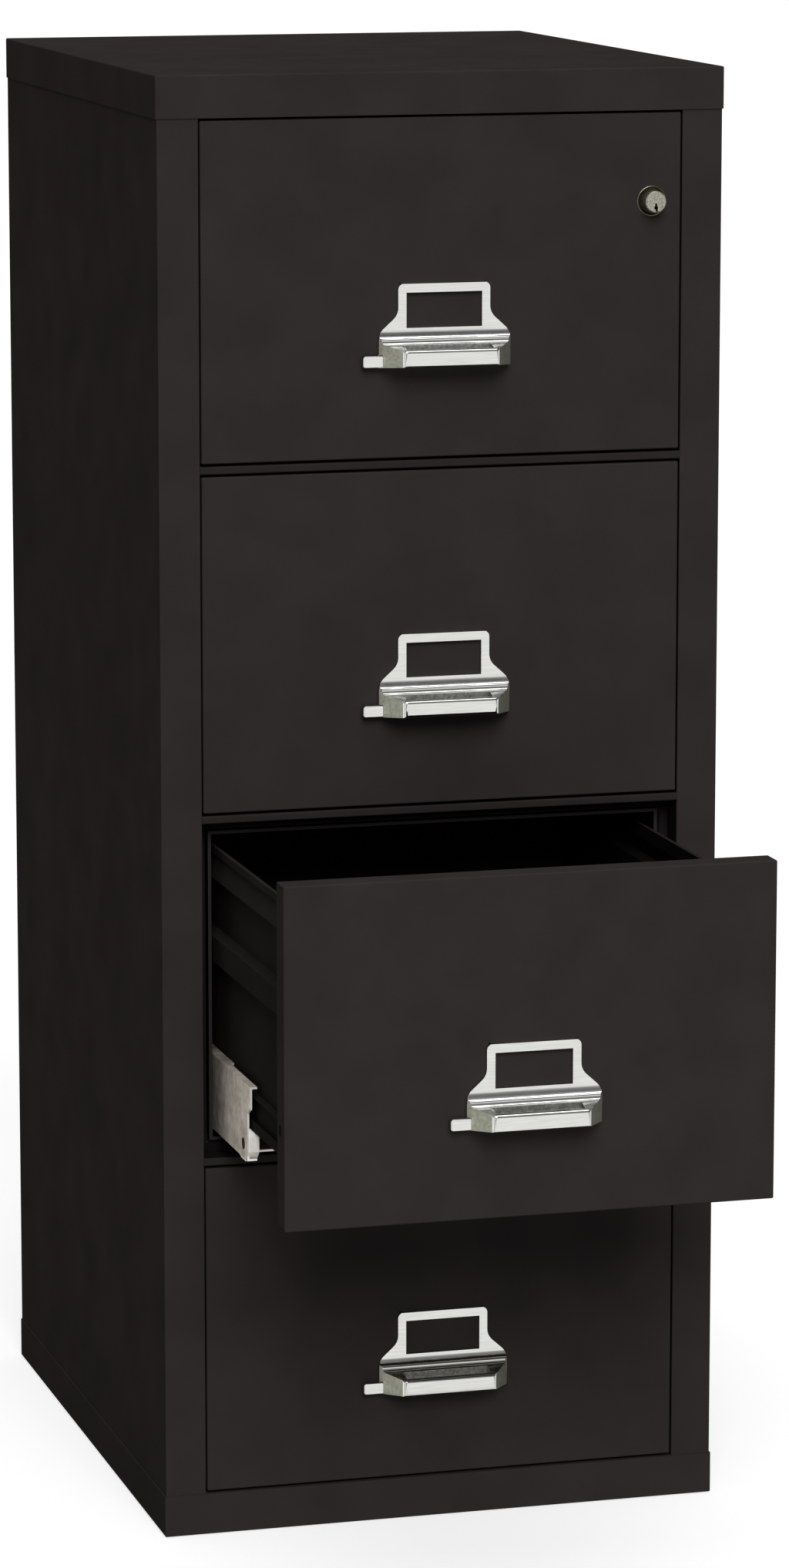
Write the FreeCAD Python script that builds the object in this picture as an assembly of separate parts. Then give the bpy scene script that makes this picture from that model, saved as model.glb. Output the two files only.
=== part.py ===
import FreeCAD, Part
import math
import os

# Fireproof filing cabinet with four insulated drawers, one of them pulled part way out.
# Millimetres. X to the right, Y towards the back, Z up, origin on the floor under the body's centre.

V = FreeCAD.Vector

# Cabinet, outside sizes
cabinet_width = 529.0
cabinet_depth = 637.0
cabinet_height = 1340.0
drawer_count = 4
shell_sheet = 1.2
bend_radius = 1.5
jamb_round = 1.0
cut_over = 1.0
cap_height = 38.4
base_height = 38.4
jamb_width = 37.8
rail_height = 7.2
back_wall = 50.0

# Rebate around each drawer front, seen from the front
side_gap = 1.5
front_gap = 2.4
rebate_depth = 27.6
step_width = 7.7
seal_groove = 3.4
groove_depth = 12.0
lip_width = 3.0
lip_forward = 3.0
lip_hem = 6.0
jamb_channel = 14.5

# Drawer front
front_thickness = 24.0
front_sheet = 1.2
plate_sheet = 1.2

seam_gap = 0.6
seam_relief = 2.0
seam_start = 2.4

# Drawer tray: its floor's height above the front's lower edge, then drops below the front's upper edge
# and below the rim, and how far the side stands out from its lower wall
tray_rear_clear = 32.6
tray_side_room = 13.1
tray_sheet = 1.0
tray_floor = 44.0
rim_drop = 25.6
tray_back_drop = 18.0
rim_hem_height = 6.5
rim_hem_out = 2.5
upper_out = 5.0
bead_out = 9.5
bead_drop = 12.0
bead_height = 16.0
shelf_drop = 79.0
band_height = 23.5
fold_slope = 3.5
slot_pitch = 25.4
slot_width = 1.4
slot_count = 16
first_slot = 92.6
slot_over = 3.5
band_slot_width = 4.0
band_slot_height = 18.0
band_slot_place = 51.0

# Telescopic slides
pulled_out = 286.0
pulled_number = 3
slide_sheet = 1.3
mid_sheet = 1.8
runner_sheet = 1.5
slide_clear = 0.3
slide_side_clear = 0.4
mid_low = 18.1
mid_height = 70.2
mid_rear_clear = 26.0
mid_set_back = 33.5
mid_nose = 10.5
mid_nose_height = 20.6
mid_nose_slope = 5.3
mid_flange = 9.9
mid_flange_narrow = 6.6
mid_low_flange = 8.9
narrow_length = 98.0
mid_hole = 5.4
mid_hole_back = 25.5
mid_hole_rise = 13.1
tie_place = 41.5
tie_depth = 70.0
cabinet_slide_flange = 8.6
cabinet_slide_rear_clear = 34.6
runner_height = 32.0
runner_low = 46.0
runner_flange = 6.5
runner_lip = 8.5
shoe_length = 36.0
shoe_reach = 6.5
glide_length = 40.0
glide_ahead = 5.5
glide_thick = 8.1
glide_rise = 30.8
glide_drop = 1.6
glide_nose_length = 12.5
glide_nose_height = 11.0
glide_heel_start = 28.5
glide_heel_end = 33.5
glide_top_slope = 7.9
glide_top_flat = 1.3

# Handle: a cast pull with a label frame above it
handle_low = 81.8
handle_half = 61.5
handle_bar_half = 43.6
handle_reach = 31.0
handle_end_straight = 6.5
handle_bar_low = 84.7
handle_bar_top = 97.0
handle_lip_radius = 2.3
shelf_front_height = 99.3
shelf_back_height = 103.2
shelf_back = 12.2
ridge_reach = 9.6
ridge_top = 108.8
ridge_round = 1.6
ridge_wall = 2.2
sweep_rise = 3.0
sweep_out = 0.9
plate_thick = 5.0
plate_start = 116.0
plate_top = 157.2
plate_round = 1.2
plate_half = 43.0
plate_corner = 5.0
flare_start = 136.0
flare_radius = 14.0
flare_angle = 48.0
window_half = 35.3
window_low = 117.6
window_top = 149.3
window_corner = 0.8
card_margin = 2.6
card_depth = 1.2
trough_half = 40.5
trough_back = 13.4
trough_front = 27.0
trough_floor = 97.0
trough_corner = 4.5
handle_wall = 2.6
handle_roof = 94.4
bar_corner = 8.0
boss_radius = 3.8
boss_half = 52.0
boss_height = 100.2
boss_reach = 13.0
screw_radius = 1.9
screw_head_radius = 3.6
screw_head_height = 2.2
screw_bite = 10.0

# Thumb latch, its tab at the left end of the handle
latch_travel = 8.0
tab_outer = 77.0
tab_low = 83.0
tab_height = 10.5
tab_back = 4.0
tab_thick = 6.0
tab_corner = 2.0
stem_left = 55.0
stem_width = 10.0
bar_height = 8.0
bar_low = 84.2
bar_front = 10.0
bar_thick = 6.0
latch_clear = 0.4
latch_tip_out = 0.6
spring_length = 29.0
spring_wire = 0.9
spring_outer = 6.4
spring_turns = 8
strike_plate = 2.0
strike_margin = 6.0

# Plunger lock at the top right of the first drawer front
lock_inset = 27.7
lock_drop = 79.4
bezel_radius = 13.65
bezel_inner_radius = 10.8
bezel_reach = 6.2
housing_radius = 12.0
plunger_radius = 9.7
plunger_clear = 0.08
plunger_out = 14.0
plunger_rear = 4.0
plunger_chamfer = 0.7
lock_travel = 7.5
nose_radius = 4.0
nose_plane = 10.5
housing_depth = 12.0
plug_radius = 5.8
plug_clear = 0.06
plug_drop = 3.3
plug_length = 12.0
keyway_width = 1.8
keyway_top = 1.9
keyway_kink = 0.7
keyway_depth = 9.0
ward_width = 0.8
ward_height = 2.8
ward_drop = 2.1
wedge_clear = 0.4
bolt_front = 12.2
bolt_thick = 8.0
bolt_half_height = 4.0
bolt_tip_out = 0.6

# Lock rod behind the right jamb
rod_size = 6.0
rod_front = 12.0
rod_gap = 2.8
rod_bottom_margin = 24.0
rod_top_margin = 30.0
dog_height = 14.0
dog_clear = 0.5
guide_height = 8.0
guide_wall = 2.5
guide_places = (0.06, 0.5, 0.90)

# Places that follow from the sizes above
half_width = cabinet_width / 2
half_depth = cabinet_depth / 2
body_half = half_width - shell_sheet
body_half_depth = half_depth - shell_sheet
face_y = -body_half_depth
opening_half = body_half - jamb_width
opening_low = base_height
opening_top = cabinet_height - cap_height
cell_height = (opening_top - opening_low - (drawer_count - 1) * rail_height) / drawer_count
pitch = cell_height + rail_height
front_height = cell_height - 2 * front_gap
front_half = opening_half - side_gap
step_inner = opening_half - step_width
lip_outer = step_inner - seal_groove
liner_half = lip_outer - lip_width
liner_inset = step_width + seal_groove + lip_width
liner_back = body_half_depth - back_wall
liner_depth = liner_back - face_y
lip_front = rebate_depth - lip_forward
shell_inner = body_half - shell_sheet
tray_length = liner_depth - front_thickness - tray_rear_clear
tray_rim = front_height - rim_drop
wall_half = liner_half - tray_side_room
upper_half = wall_half + upper_out
bead_half = wall_half + bead_out
bead_top = tray_rim - bead_drop
bead_low = bead_top - bead_height
shelf_inner = tray_rim - shelf_drop
shelf_outer = shelf_inner - fold_slope
band_low = shelf_outer - band_height
mid_length = liner_depth - mid_set_back - mid_rear_clear
mid_travel_share = 0.5
lock_x = front_half - lock_inset
lock_height = front_height - lock_drop


def cell_bottom(number):
    return opening_top - cell_height - (number - 1) * pitch


def front_bottom(number):
    return cell_bottom(number) + front_gap


def pull_of(number):
    return pulled_out if number == pulled_number else 0.0


def block(x0, x1, y0, y1, z0, z1):
    return Part.makeBox(x1 - x0, y1 - y0, z1 - z0, V(x0, y0, z0))


def inside_out(depth_start, depth_end):
    # Y range of a stretch that is given as depths behind the cabinet's face
    return face_y + depth_start, face_y + depth_end


def rod_along(radius, length, start, direction):
    return Part.makeCylinder(radius, length, start, direction)


def mirrored(shape):
    return shape.mirror(V(0, 0, 0), V(1, 0, 0))


def moved(shape, x=0.0, y=0.0, z=0.0):
    copy = shape.copy()
    copy.translate(V(x, y, z))
    return copy


def extruded(points, plane, start, end):
    # Prism of a straight-sided outline. Plane "xz" runs along Y, "xy" along Z and "yz" along X.
    if plane == "xz":
        corners = [V(a, start, b) for a, b in points]
        way = V(0, end - start, 0)
    elif plane == "xy":
        corners = [V(a, b, start) for a, b in points]
        way = V(0, 0, end - start)
    else:
        corners = [V(start, a, b) for a, b in points]
        way = V(end - start, 0, 0)
    return Part.Face(Part.makePolygon(corners + corners[:1])).extrude(way)


def sheet_outline(path, thickness):
    # Closed outline of a folded sheet: the path and its mitred offset to the path's left
    back = []
    for index, point in enumerate(path):
        before = path[max(index - 1, 0)]
        after = path[min(index + 1, len(path) - 1)]
        normals = []
        for first, second in ((before, point), (point, after)):
            run = math.hypot(second[0] - first[0], second[1] - first[1])
            if run > 0:
                normals.append((-(second[1] - first[1]) / run, (second[0] - first[0]) / run))
        first, last = normals[0], normals[-1]
        scale = thickness / (1 + first[0] * last[0] + first[1] * last[1])
        back.append((point[0] + (first[0] + last[0]) * scale, point[1] + (first[1] + last[1]) * scale))
    return path + back[::-1]


def fused(shapes):
    whole = shapes[0]
    for shape in shapes[1:]:
        whole = whole.fuse(shape)
    return whole.removeSplitter()


def without(shape, tools):
    return shape.cut(Part.Compound(tools)) if tools else shape


def export(shape, name):
    shape.exportStep("parts/" + name + ".step")


def edges_where(shape, test):
    return [edge for edge in shape.Edges if test(edge.BoundBox)]


def thin(box, axis, place, slack=0.01):
    low, high = {"x": (box.XMin, box.XMax), "y": (box.YMin, box.YMax), "z": (box.ZMin, box.ZMax)}[axis]
    return abs(low - place) < slack and abs(high - place) < slack


# Cabinet shell

def side_wrap():
    # Right side sheet with its front folds: jamb face, return into the rebate and step
    path = [
        (body_half, body_half_depth),
        (body_half, face_y),
        (opening_half, face_y),
    ]
    tall = extruded(sheet_outline(path, -shell_sheet), "xy", shell_sheet, cabinet_height - shell_sheet)
    fold = block(opening_half, opening_half + shell_sheet, *inside_out(0, rebate_depth + shell_sheet),
                 opening_low, opening_top)
    step = block(step_inner, opening_half + shell_sheet,
                 *inside_out(rebate_depth, rebate_depth + shell_sheet), opening_low, opening_top)
    wrap = fused([tall, fold, step])
    bends = edges_where(wrap, lambda box: thin(box, "y", face_y) and thin(box, "x", box.XMin)
                        and box.ZMax - box.ZMin > cell_height)
    return wrap.makeFillet(jamb_round, bends)


def latch_slots(wrap):
    # Slots in the left jamb's return, one where each latch bar ends
    slots = []
    for number in range(1, drawer_count + 1):
        low = front_bottom(number) + bar_low
        slots.append(block(-opening_half - 2 * shell_sheet, -opening_half + shell_sheet,
                           *inside_out(bar_front - latch_clear, bar_front + bar_thick + latch_clear),
                           low - latch_clear, low + bar_height + latch_clear))
    return without(wrap, slots)


def bolt_slot(wrap):
    # Slot in the right jamb's return beside the lock bolt
    middle = front_bottom(1) + lock_height
    reach = bolt_half_height + latch_clear
    slot = block(opening_half - shell_sheet, opening_half + 2 * shell_sheet,
                 *inside_out(bolt_front - latch_clear, bolt_front + bolt_thick + latch_clear),
                 middle - reach, middle + reach)
    return without(wrap, [slot])


def folded_pan(low, high, floor_low):
    # Shallow pan of the cabinet's full outline, its floor at floor_low, bent edges rounded
    outer = block(-half_width, half_width, -half_depth, half_depth, low, high)
    floor_face = low if floor_low == low else high
    rounded = edges_where(outer, lambda box: thin(box, "z", floor_face) or not thin(box, "z", box.ZMin))
    outer = outer.makeFillet(bend_radius, rounded)
    cut_low = low + shell_sheet if floor_low == low else low - cut_over
    cut_high = high + cut_over if floor_low == low else high - shell_sheet
    return outer.cut(block(-body_half, body_half, -body_half_depth, body_half_depth, cut_low, cut_high))


def threshold(edge, toward):
    # Sheet running back from a cap or base edge, with the step that closes the rebate there
    ledge = block(-opening_half, opening_half, *inside_out(-shell_sheet / 2, rebate_depth + shell_sheet),
                  min(edge, edge + toward * shell_sheet), max(edge, edge + toward * shell_sheet))
    step_z = (edge - toward * step_width, edge + toward * shell_sheet)
    step = block(-step_inner, step_inner, *inside_out(rebate_depth, rebate_depth + shell_sheet),
                 min(step_z), max(step_z))
    return fused([ledge, step])


def top_cap():
    pan = folded_pan(opening_top, cabinet_height, cabinet_height - shell_sheet)
    return fused([pan, threshold(opening_top, 1)])


def base_pan():
    pan = folded_pan(0, base_height, 0)
    return fused([pan, threshold(opening_low, -1)])


def back_panel():
    return block(-shell_inner, shell_inner, body_half_depth - shell_sheet, body_half_depth,
                 shell_sheet, cabinet_height - shell_sheet)


def cross_rails():
    # Three hat-shaped rails between the drawers, each with a step above and below
    rails = []
    for number in range(1, drawer_count):
        low = cell_bottom(number) - rail_height
        high = low + rail_height
        web = block(-opening_half, opening_half, *inside_out(0, shell_sheet), low, high)
        flanges = [block(-opening_half, opening_half, *inside_out(0, rebate_depth), z, z + shell_sheet)
                   for z in (low, high - shell_sheet)]
        steps = [block(-step_inner, step_inner, *inside_out(rebate_depth, rebate_depth + shell_sheet), z0, z1)
                 for z0, z1 in ((low - step_width, low + shell_sheet), (high - shell_sheet, high + step_width))]
        rail = fused([web] + flanges + steps)
        bends = edges_where(rail, lambda box: thin(box, "y", face_y) and thin(box, "z", box.ZMin))
        rails.append(rail.makeFillet(bend_radius, bends))
    return Part.Compound(rails)


def liner(number):
    # Inner steel box of one compartment, its front rim hemmed forward as a sealing lip
    low = cell_bottom(number) + liner_inset
    high = cell_bottom(number) + cell_height - liner_inset
    sheet = shell_sheet
    front, lip_end = inside_out(lip_front, lip_front + lip_hem)
    outer = block(-liner_half - sheet, liner_half + sheet, front, liner_back + sheet, low - sheet, high + sheet)
    lip = block(-lip_outer, lip_outer, front, lip_end, low - lip_width, high + lip_width)
    hollow = block(-liner_half, liner_half, front - cut_over, liner_back, low, high)
    return fused([outer, lip]).cut(hollow)


def insulation_fill():
    # One poured mass around the four compartments, left clear of the jamb channels. A groove round each
    # compartment's lip keeps the hot outer sheets apart from the inner box.
    mass = block(-shell_inner, shell_inner, face_y + shell_sheet, body_half_depth - shell_sheet,
                 shell_sheet, cabinet_height - shell_sheet)
    channel = opening_half + jamb_channel
    rebate_end = rebate_depth + shell_sheet
    cuts = [block(-channel, channel, *inside_out(0, rebate_end), opening_low, opening_top),
            block(-opening_half, opening_half, *inside_out(0, rebate_end),
                  opening_low - 2 * shell_sheet, opening_top + 2 * shell_sheet)]
    for number in range(1, drawer_count + 1):
        low = cell_bottom(number) + liner_inset
        high = cell_bottom(number) + cell_height - liner_inset
        sheet = shell_sheet
        lip_end = lip_front + lip_hem
        cuts.append(block(-liner_half - sheet, liner_half + sheet, *inside_out(0, liner_back + sheet - face_y),
                          low - sheet, high + sheet))
        cuts.append(block(-step_inner, step_inner, *inside_out(0, lip_end + groove_depth),
                          low - lip_width - seal_groove, high + lip_width + seal_groove))
    return without(mass, cuts)


def latch_strikes():
    # Small window plates behind the left jamb's return
    strikes = []
    x_face = -opening_half - shell_sheet
    for number in range(1, drawer_count + 1):
        low = front_bottom(number) + bar_low
        start, end = inside_out(bar_front, bar_front + bar_thick)
        plate = block(x_face - strike_plate, x_face, start - strike_margin, end + strike_margin,
                      low - strike_margin, low + bar_height + strike_margin)
        window = block(x_face - strike_plate - cut_over, x_face + cut_over, start - latch_clear, end + latch_clear,
                       low - latch_clear, low + bar_height + latch_clear)
        strikes.append(plate.cut(window))
    return Part.Compound(strikes)


# Slides, drawn for the right-hand side with the drawer front's lower edge at height 0

slide_web = liner_half
mid_outer = slide_web - slide_sheet - slide_side_clear
mid_inner = mid_outer - mid_sheet
mid_top = mid_low + mid_height
slide_low = mid_low - slide_clear - slide_sheet
slide_top = mid_top + slide_clear + slide_sheet
glide_tip = mid_set_back + mid_nose - glide_ahead
slide_front = glide_tip + glide_heel_end + slide_clear


def cabinet_slide():
    # Channel screwed to the liner, open towards the drawer
    start, end = inside_out(slide_front, liner_depth - cabinet_slide_rear_clear)
    path = [
        (slide_web - cabinet_slide_flange, slide_low),
        (slide_web, slide_low),
        (slide_web, slide_top),
        (slide_web - cabinet_slide_flange, slide_top),
    ]
    return extruded(sheet_outline(path, slide_sheet), "xz", start, end)


def mid_hole_bore():
    return rod_along(mid_hole, 2 * glide_thick,
                     V(mid_outer + cut_over, face_y + mid_set_back + mid_hole_back, mid_low + mid_hole_rise),
                     V(-1, 0, 0))


def mid_slide():
    # Zinc-plated middle member: a channel whose top flange widens behind the front stretch
    start = face_y + mid_set_back
    end = start + mid_length
    web = block(mid_inner, mid_outer, start, end, mid_low, mid_top)
    step_top = mid_top - mid_nose_height
    relief = extruded([
        (start - cut_over, step_top),
        (start, step_top),
        (start + mid_nose, step_top - mid_nose_slope),
        (start + mid_nose, mid_low - cut_over),
        (start - cut_over, mid_low - cut_over),
    ], "yz", mid_inner - cut_over, mid_outer + cut_over)
    top_z = (mid_top - mid_sheet, mid_top)
    narrow = block(mid_outer - mid_flange_narrow, mid_outer, start, start + narrow_length + cut_over, *top_z)
    wide = block(mid_outer - mid_flange, mid_outer, start + narrow_length, end, *top_z)
    low = block(mid_outer - mid_low_flange, mid_outer, start + mid_nose, end, mid_low, mid_low + mid_sheet)
    return fused([without(web, [relief, mid_hole_bore()]), narrow, wide, low])


def slide_tie():
    # Flat strap that joins the lower flanges of a drawer's two middle members
    start = face_y + mid_set_back + tie_place
    reach = mid_outer - mid_low_flange
    return block(-reach, reach, start, start + tie_depth, mid_low, mid_low + mid_sheet)


def slide_glide():
    # Nylon block clipped round the middle member's lower front corner, under the drawer's runner
    tip = face_y + glide_tip
    top = mid_low + glide_rise
    under = mid_low - glide_drop
    side = [
        (tip, top),
        (tip, under + glide_nose_height),
        (tip + glide_nose_length, under),
        (tip + glide_heel_start, under),
        (tip + glide_heel_end, mid_low),
        (tip + glide_heel_end, mid_low + mid_sheet),
        (tip + glide_length, mid_low + mid_sheet),
        (tip + glide_length, top),
    ]
    inner = mid_inner - glide_thick
    body = extruded(side, "yz", inner, mid_outer)
    slope = extruded([
        (inner - cut_over, top + cut_over),
        (inner - cut_over, top - glide_top_slope),
        (inner, top - glide_top_slope),
        (mid_outer - glide_top_flat, top),
        (mid_outer - glide_top_flat, top + cut_over),
    ], "xz", tip - cut_over, tip + glide_length + cut_over)
    return without(body, [slope, mid_slide(), mid_hole_bore()])


def drawer_runner():
    # Runner screwed to the drawer's side, with a deeper shoe at its rear that the middle member holds
    start = face_y + front_thickness
    end = start + tray_length
    web_x = wall_half + runner_sheet
    path = [
        (web_x + runner_flange - runner_sheet, runner_low + runner_lip),
        (web_x + runner_flange - runner_sheet, runner_low),
        (wall_half, runner_low),
        (wall_half, runner_low + runner_height),
        (web_x + runner_flange - runner_sheet, runner_low + runner_height),
    ]
    channel = extruded(sheet_outline(path, -runner_sheet), "xz", start, end)
    shoe_z = (mid_low + mid_sheet + slide_clear, mid_top - mid_sheet - slide_clear)
    shoe = block(wall_half + runner_sheet / 2, wall_half + runner_sheet + shoe_reach,
                 end - shoe_length, end, *shoe_z)
    return fused([channel, shoe])


# Drawer pieces, closed against the cabinet's face and with the front's lower edge at height 0

def front_pan():
    outer = block(-front_half, front_half, *inside_out(0, front_thickness), 0, front_height)
    bent = edges_where(outer, lambda box: thin(box, "y", face_y) or not thin(box, "y", box.YMin))
    outer = outer.makeFillet(bend_radius, bent)
    inner = block(-front_half + front_sheet, front_half - front_sheet,
                  *inside_out(front_sheet, front_thickness + cut_over), front_sheet, front_height - front_sheet)
    return without(outer, [inner] + corner_seams())


def corner_seams():
    # Open seam where each side flange ends short of the upper or lower one, with its bend relief in front
    seams = []
    for side in (-1, 1):
        x = sorted((side * (front_half - front_sheet), side * (front_half + cut_over)))
        for edge, way in ((front_sheet, 1), (front_height - front_sheet, -1)):
            for size, first, last in ((seam_gap, seam_start, front_thickness + cut_over),
                                      (seam_relief, seam_start, seam_start + seam_relief)):
                z = sorted((edge, edge + way * size))
                seams.append(block(*x, *inside_out(first, last), *z))
    return seams


def latch_ways():
    # Room for the latch: its bar's channel to the left edge, and the slot for its stem
    low, high = bar_low - latch_clear, bar_low + bar_height + latch_clear
    spring_wall = -stem_left + stem_width + spring_length
    channel = block(-front_half - cut_over, spring_wall,
                    *inside_out(bar_front - latch_clear, bar_front + bar_thick + latch_clear), low, high)
    stem_slot = block(-stem_left - latch_clear, -stem_left + stem_width + latch_travel + latch_clear,
                      *inside_out(-cut_over, bar_front), low, high)
    return [channel, stem_slot]


def screw_ways(radius, start, end):
    return [rod_along(radius, end - start, V(side * boss_half, face_y + start, boss_height), V(0, 1, 0))
            for side in (-1, 1)]


def lock_ways():
    # Round hole for the lock housing, and the bolt's channel to the right edge
    hole = rod_along(housing_radius + plunger_clear, housing_depth + cut_over,
                     V(lock_x, face_y - cut_over, lock_height), V(0, 1, 0))
    reach = bolt_half_height + latch_clear
    channel = block(lock_x - nose_plane - latch_clear, front_half + cut_over,
                    *inside_out(bolt_front - latch_clear, bolt_front + bolt_thick + latch_clear),
                    lock_height - reach, lock_height + reach)
    nose_room = rod_along(nose_radius + latch_clear, front_thickness - 2 * plate_sheet,
                          V(lock_x, face_y + plate_sheet, lock_height), V(0, 1, 0))
    return [hole, channel, nose_room]


def front_fill():
    # Insulating core of the drawer front
    return block(-front_half + front_sheet, front_half - front_sheet,
                 *inside_out(front_sheet, front_thickness - plate_sheet), front_sheet, front_height - front_sheet)


def inner_plate():
    return block(-front_half + front_sheet, front_half - front_sheet,
                 *inside_out(front_thickness - plate_sheet, front_thickness),
                 front_sheet, front_height - front_sheet)


def tray_wall_path():
    # Section of the right side from the rim down to the floor
    return [
        (upper_half + rim_hem_out, tray_rim - rim_hem_height),
        (upper_half + rim_hem_out, tray_rim),
        (upper_half, tray_rim),
        (upper_half, bead_top),
        (bead_half, bead_low),
        (wall_half, bead_low - fold_slope),
        (wall_half, shelf_inner),
        (bead_half, shelf_outer),
        (bead_half, band_low),
        (wall_half, band_low - fold_slope),
        (wall_half, tray_floor),
    ]


def tray():
    start, end = inside_out(front_thickness, front_thickness + tray_length)
    wall_path = tray_wall_path()
    lower = sheet_outline(wall_path[2:], -tray_sheet)
    hem = [(upper_half - tray_sheet, tray_rim), (upper_half + rim_hem_out, tray_rim),
           (upper_half + rim_hem_out, tray_rim - rim_hem_height),
           (upper_half - tray_sheet, tray_rim - rim_hem_height)]
    right = fused([extruded(lower, "xz", start, end), extruded(hem, "xz", start, end)])
    cuts = []
    for index in range(slot_count):
        middle = start + first_slot + index * slot_pitch
        cuts.append(block(wall_half - 2 * tray_sheet, bead_half + cut_over, middle - slot_width / 2,
                          middle + slot_width / 2, shelf_outer - slot_over, shelf_inner + slot_over))
    band_middle = (band_low + shelf_outer) / 2
    cuts.append(block(bead_half - 2 * tray_sheet, bead_half + cut_over, start + band_slot_place,
                      start + band_slot_place + band_slot_width,
                      band_middle - band_slot_height / 2, band_middle + band_slot_height / 2))
    right = without(right, cuts)
    floor = block(-wall_half, wall_half, start, end, tray_floor, tray_floor + tray_sheet)
    back = block(-wall_half + tray_sheet, wall_half - tray_sheet, end - tray_sheet, end,
                 tray_floor, tray_rim - tray_back_drop)
    return fused([right, mirrored(right), floor, back])


def handle_profile():
    # Side view of the whole casting: Y is negative forwards, heights above the drawer front's edge
    def at(reach, height):
        return V(0, face_y - reach, height)

    lip_start = at(handle_reach, handle_bar_top)
    lip_turn = handle_lip_radius * math.sin(math.pi / 4)
    lip_middle = at(handle_reach - handle_lip_radius + lip_turn, handle_bar_top + lip_turn)
    lip_end = at(handle_reach - handle_lip_radius, shelf_front_height)
    valley = at(shelf_back, shelf_back_height)
    ridge_turn = ridge_round * (1 - math.sin(math.pi / 4))
    ridge_low = at(ridge_reach, ridge_top - ridge_round - ridge_wall)
    ridge_mid = at(ridge_reach, ridge_top - ridge_round)
    ridge_crest = at(ridge_reach - ridge_turn, ridge_top - ridge_turn)
    ridge_end = at(ridge_reach - ridge_round, ridge_top)
    sweep_middle = at(plate_thick + sweep_out, ridge_top + sweep_rise)
    plate_foot = at(plate_thick, plate_start)
    plate_turn = plate_round * (1 - math.sin(math.pi / 4))
    top_low = at(plate_thick, plate_top - plate_round)
    top_middle = at(plate_thick - plate_turn, plate_top - plate_turn)
    top_end = at(plate_thick - plate_round, plate_top)
    return Part.Wire([
        Part.makeLine(at(0, handle_low), at(handle_reach, handle_bar_low)),
        Part.makeLine(at(handle_reach, handle_bar_low), lip_start),
        Part.Arc(lip_start, lip_middle, lip_end).toShape(),
        Part.makeLine(lip_end, valley),
        Part.makeLine(valley, ridge_low),
        Part.makeLine(ridge_low, ridge_mid),
        Part.Arc(ridge_mid, ridge_crest, ridge_end).toShape(),
        Part.Arc(ridge_end, sweep_middle, plate_foot).toShape(),
        Part.makeLine(plate_foot, top_low),
        Part.Arc(top_low, top_middle, top_end).toShape(),
        Part.makeLine(top_end, at(0, plate_top)),
        Part.makeLine(at(0, plate_top), at(0, handle_low)),
    ])


def handle_front_outline():
    # Front view: straight lower ends, S-shaped shoulders and a plate with rounded corners
    turn = math.radians(flare_angle)
    widening = handle_half - plate_half
    slope = (widening - 2 * flare_radius * (1 - math.cos(turn))) / math.sin(turn)
    y = face_y

    def side(sign):
        def at(x, z):
            return V(sign * x, y, z)

        half_turn = turn / 2
        a = at(plate_half, flare_start)
        a_mid = at(plate_half + flare_radius * (1 - math.cos(half_turn)),
                   flare_start - flare_radius * math.sin(half_turn))
        b_x = plate_half + flare_radius * (1 - math.cos(turn))
        b_z = flare_start - flare_radius * math.sin(turn)
        c_x = b_x + slope * math.sin(turn)
        c_z = b_z - slope * math.cos(turn)
        d_z = c_z - flare_radius * math.sin(turn)
        c_mid = at(handle_half - flare_radius * (1 - math.cos(half_turn)),
                   d_z + flare_radius * math.sin(half_turn))
        corner_in = plate_corner * (1 - math.sin(math.pi / 4))
        top_in = at(plate_half - plate_corner, plate_top)
        top_mid = at(plate_half - corner_in, plate_top - corner_in)
        top_out = at(plate_half, plate_top - plate_corner)
        return [
            Part.Arc(top_in, top_mid, top_out).toShape(),
            Part.makeLine(top_out, a),
            Part.Arc(a, a_mid, at(b_x, b_z)).toShape(),
            Part.makeLine(at(b_x, b_z), at(c_x, c_z)),
            Part.Arc(at(c_x, c_z), c_mid, at(handle_half, d_z)).toShape(),
            Part.makeLine(at(handle_half, d_z), at(handle_half, handle_low - cut_over)),
        ]

    top = Part.makeLine(V(-plate_half + plate_corner, y, plate_top), V(plate_half - plate_corner, y, plate_top))
    low = handle_low - cut_over
    bottom = Part.makeLine(V(-handle_half, y, low), V(handle_half, y, low))
    edges = [top, bottom] + side(1) + side(-1)
    return Part.Wire(Part.__sortEdges__(edges))


def rounded_slot(x_half, y_front, y_back, z0, z1, radius):
    solid = block(-x_half, x_half, y_front, y_back, z0, z1)
    return solid.makeFillet(radius, edges_where(solid, lambda box: box.ZMax - box.ZMin > (z1 - z0) / 2))


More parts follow.
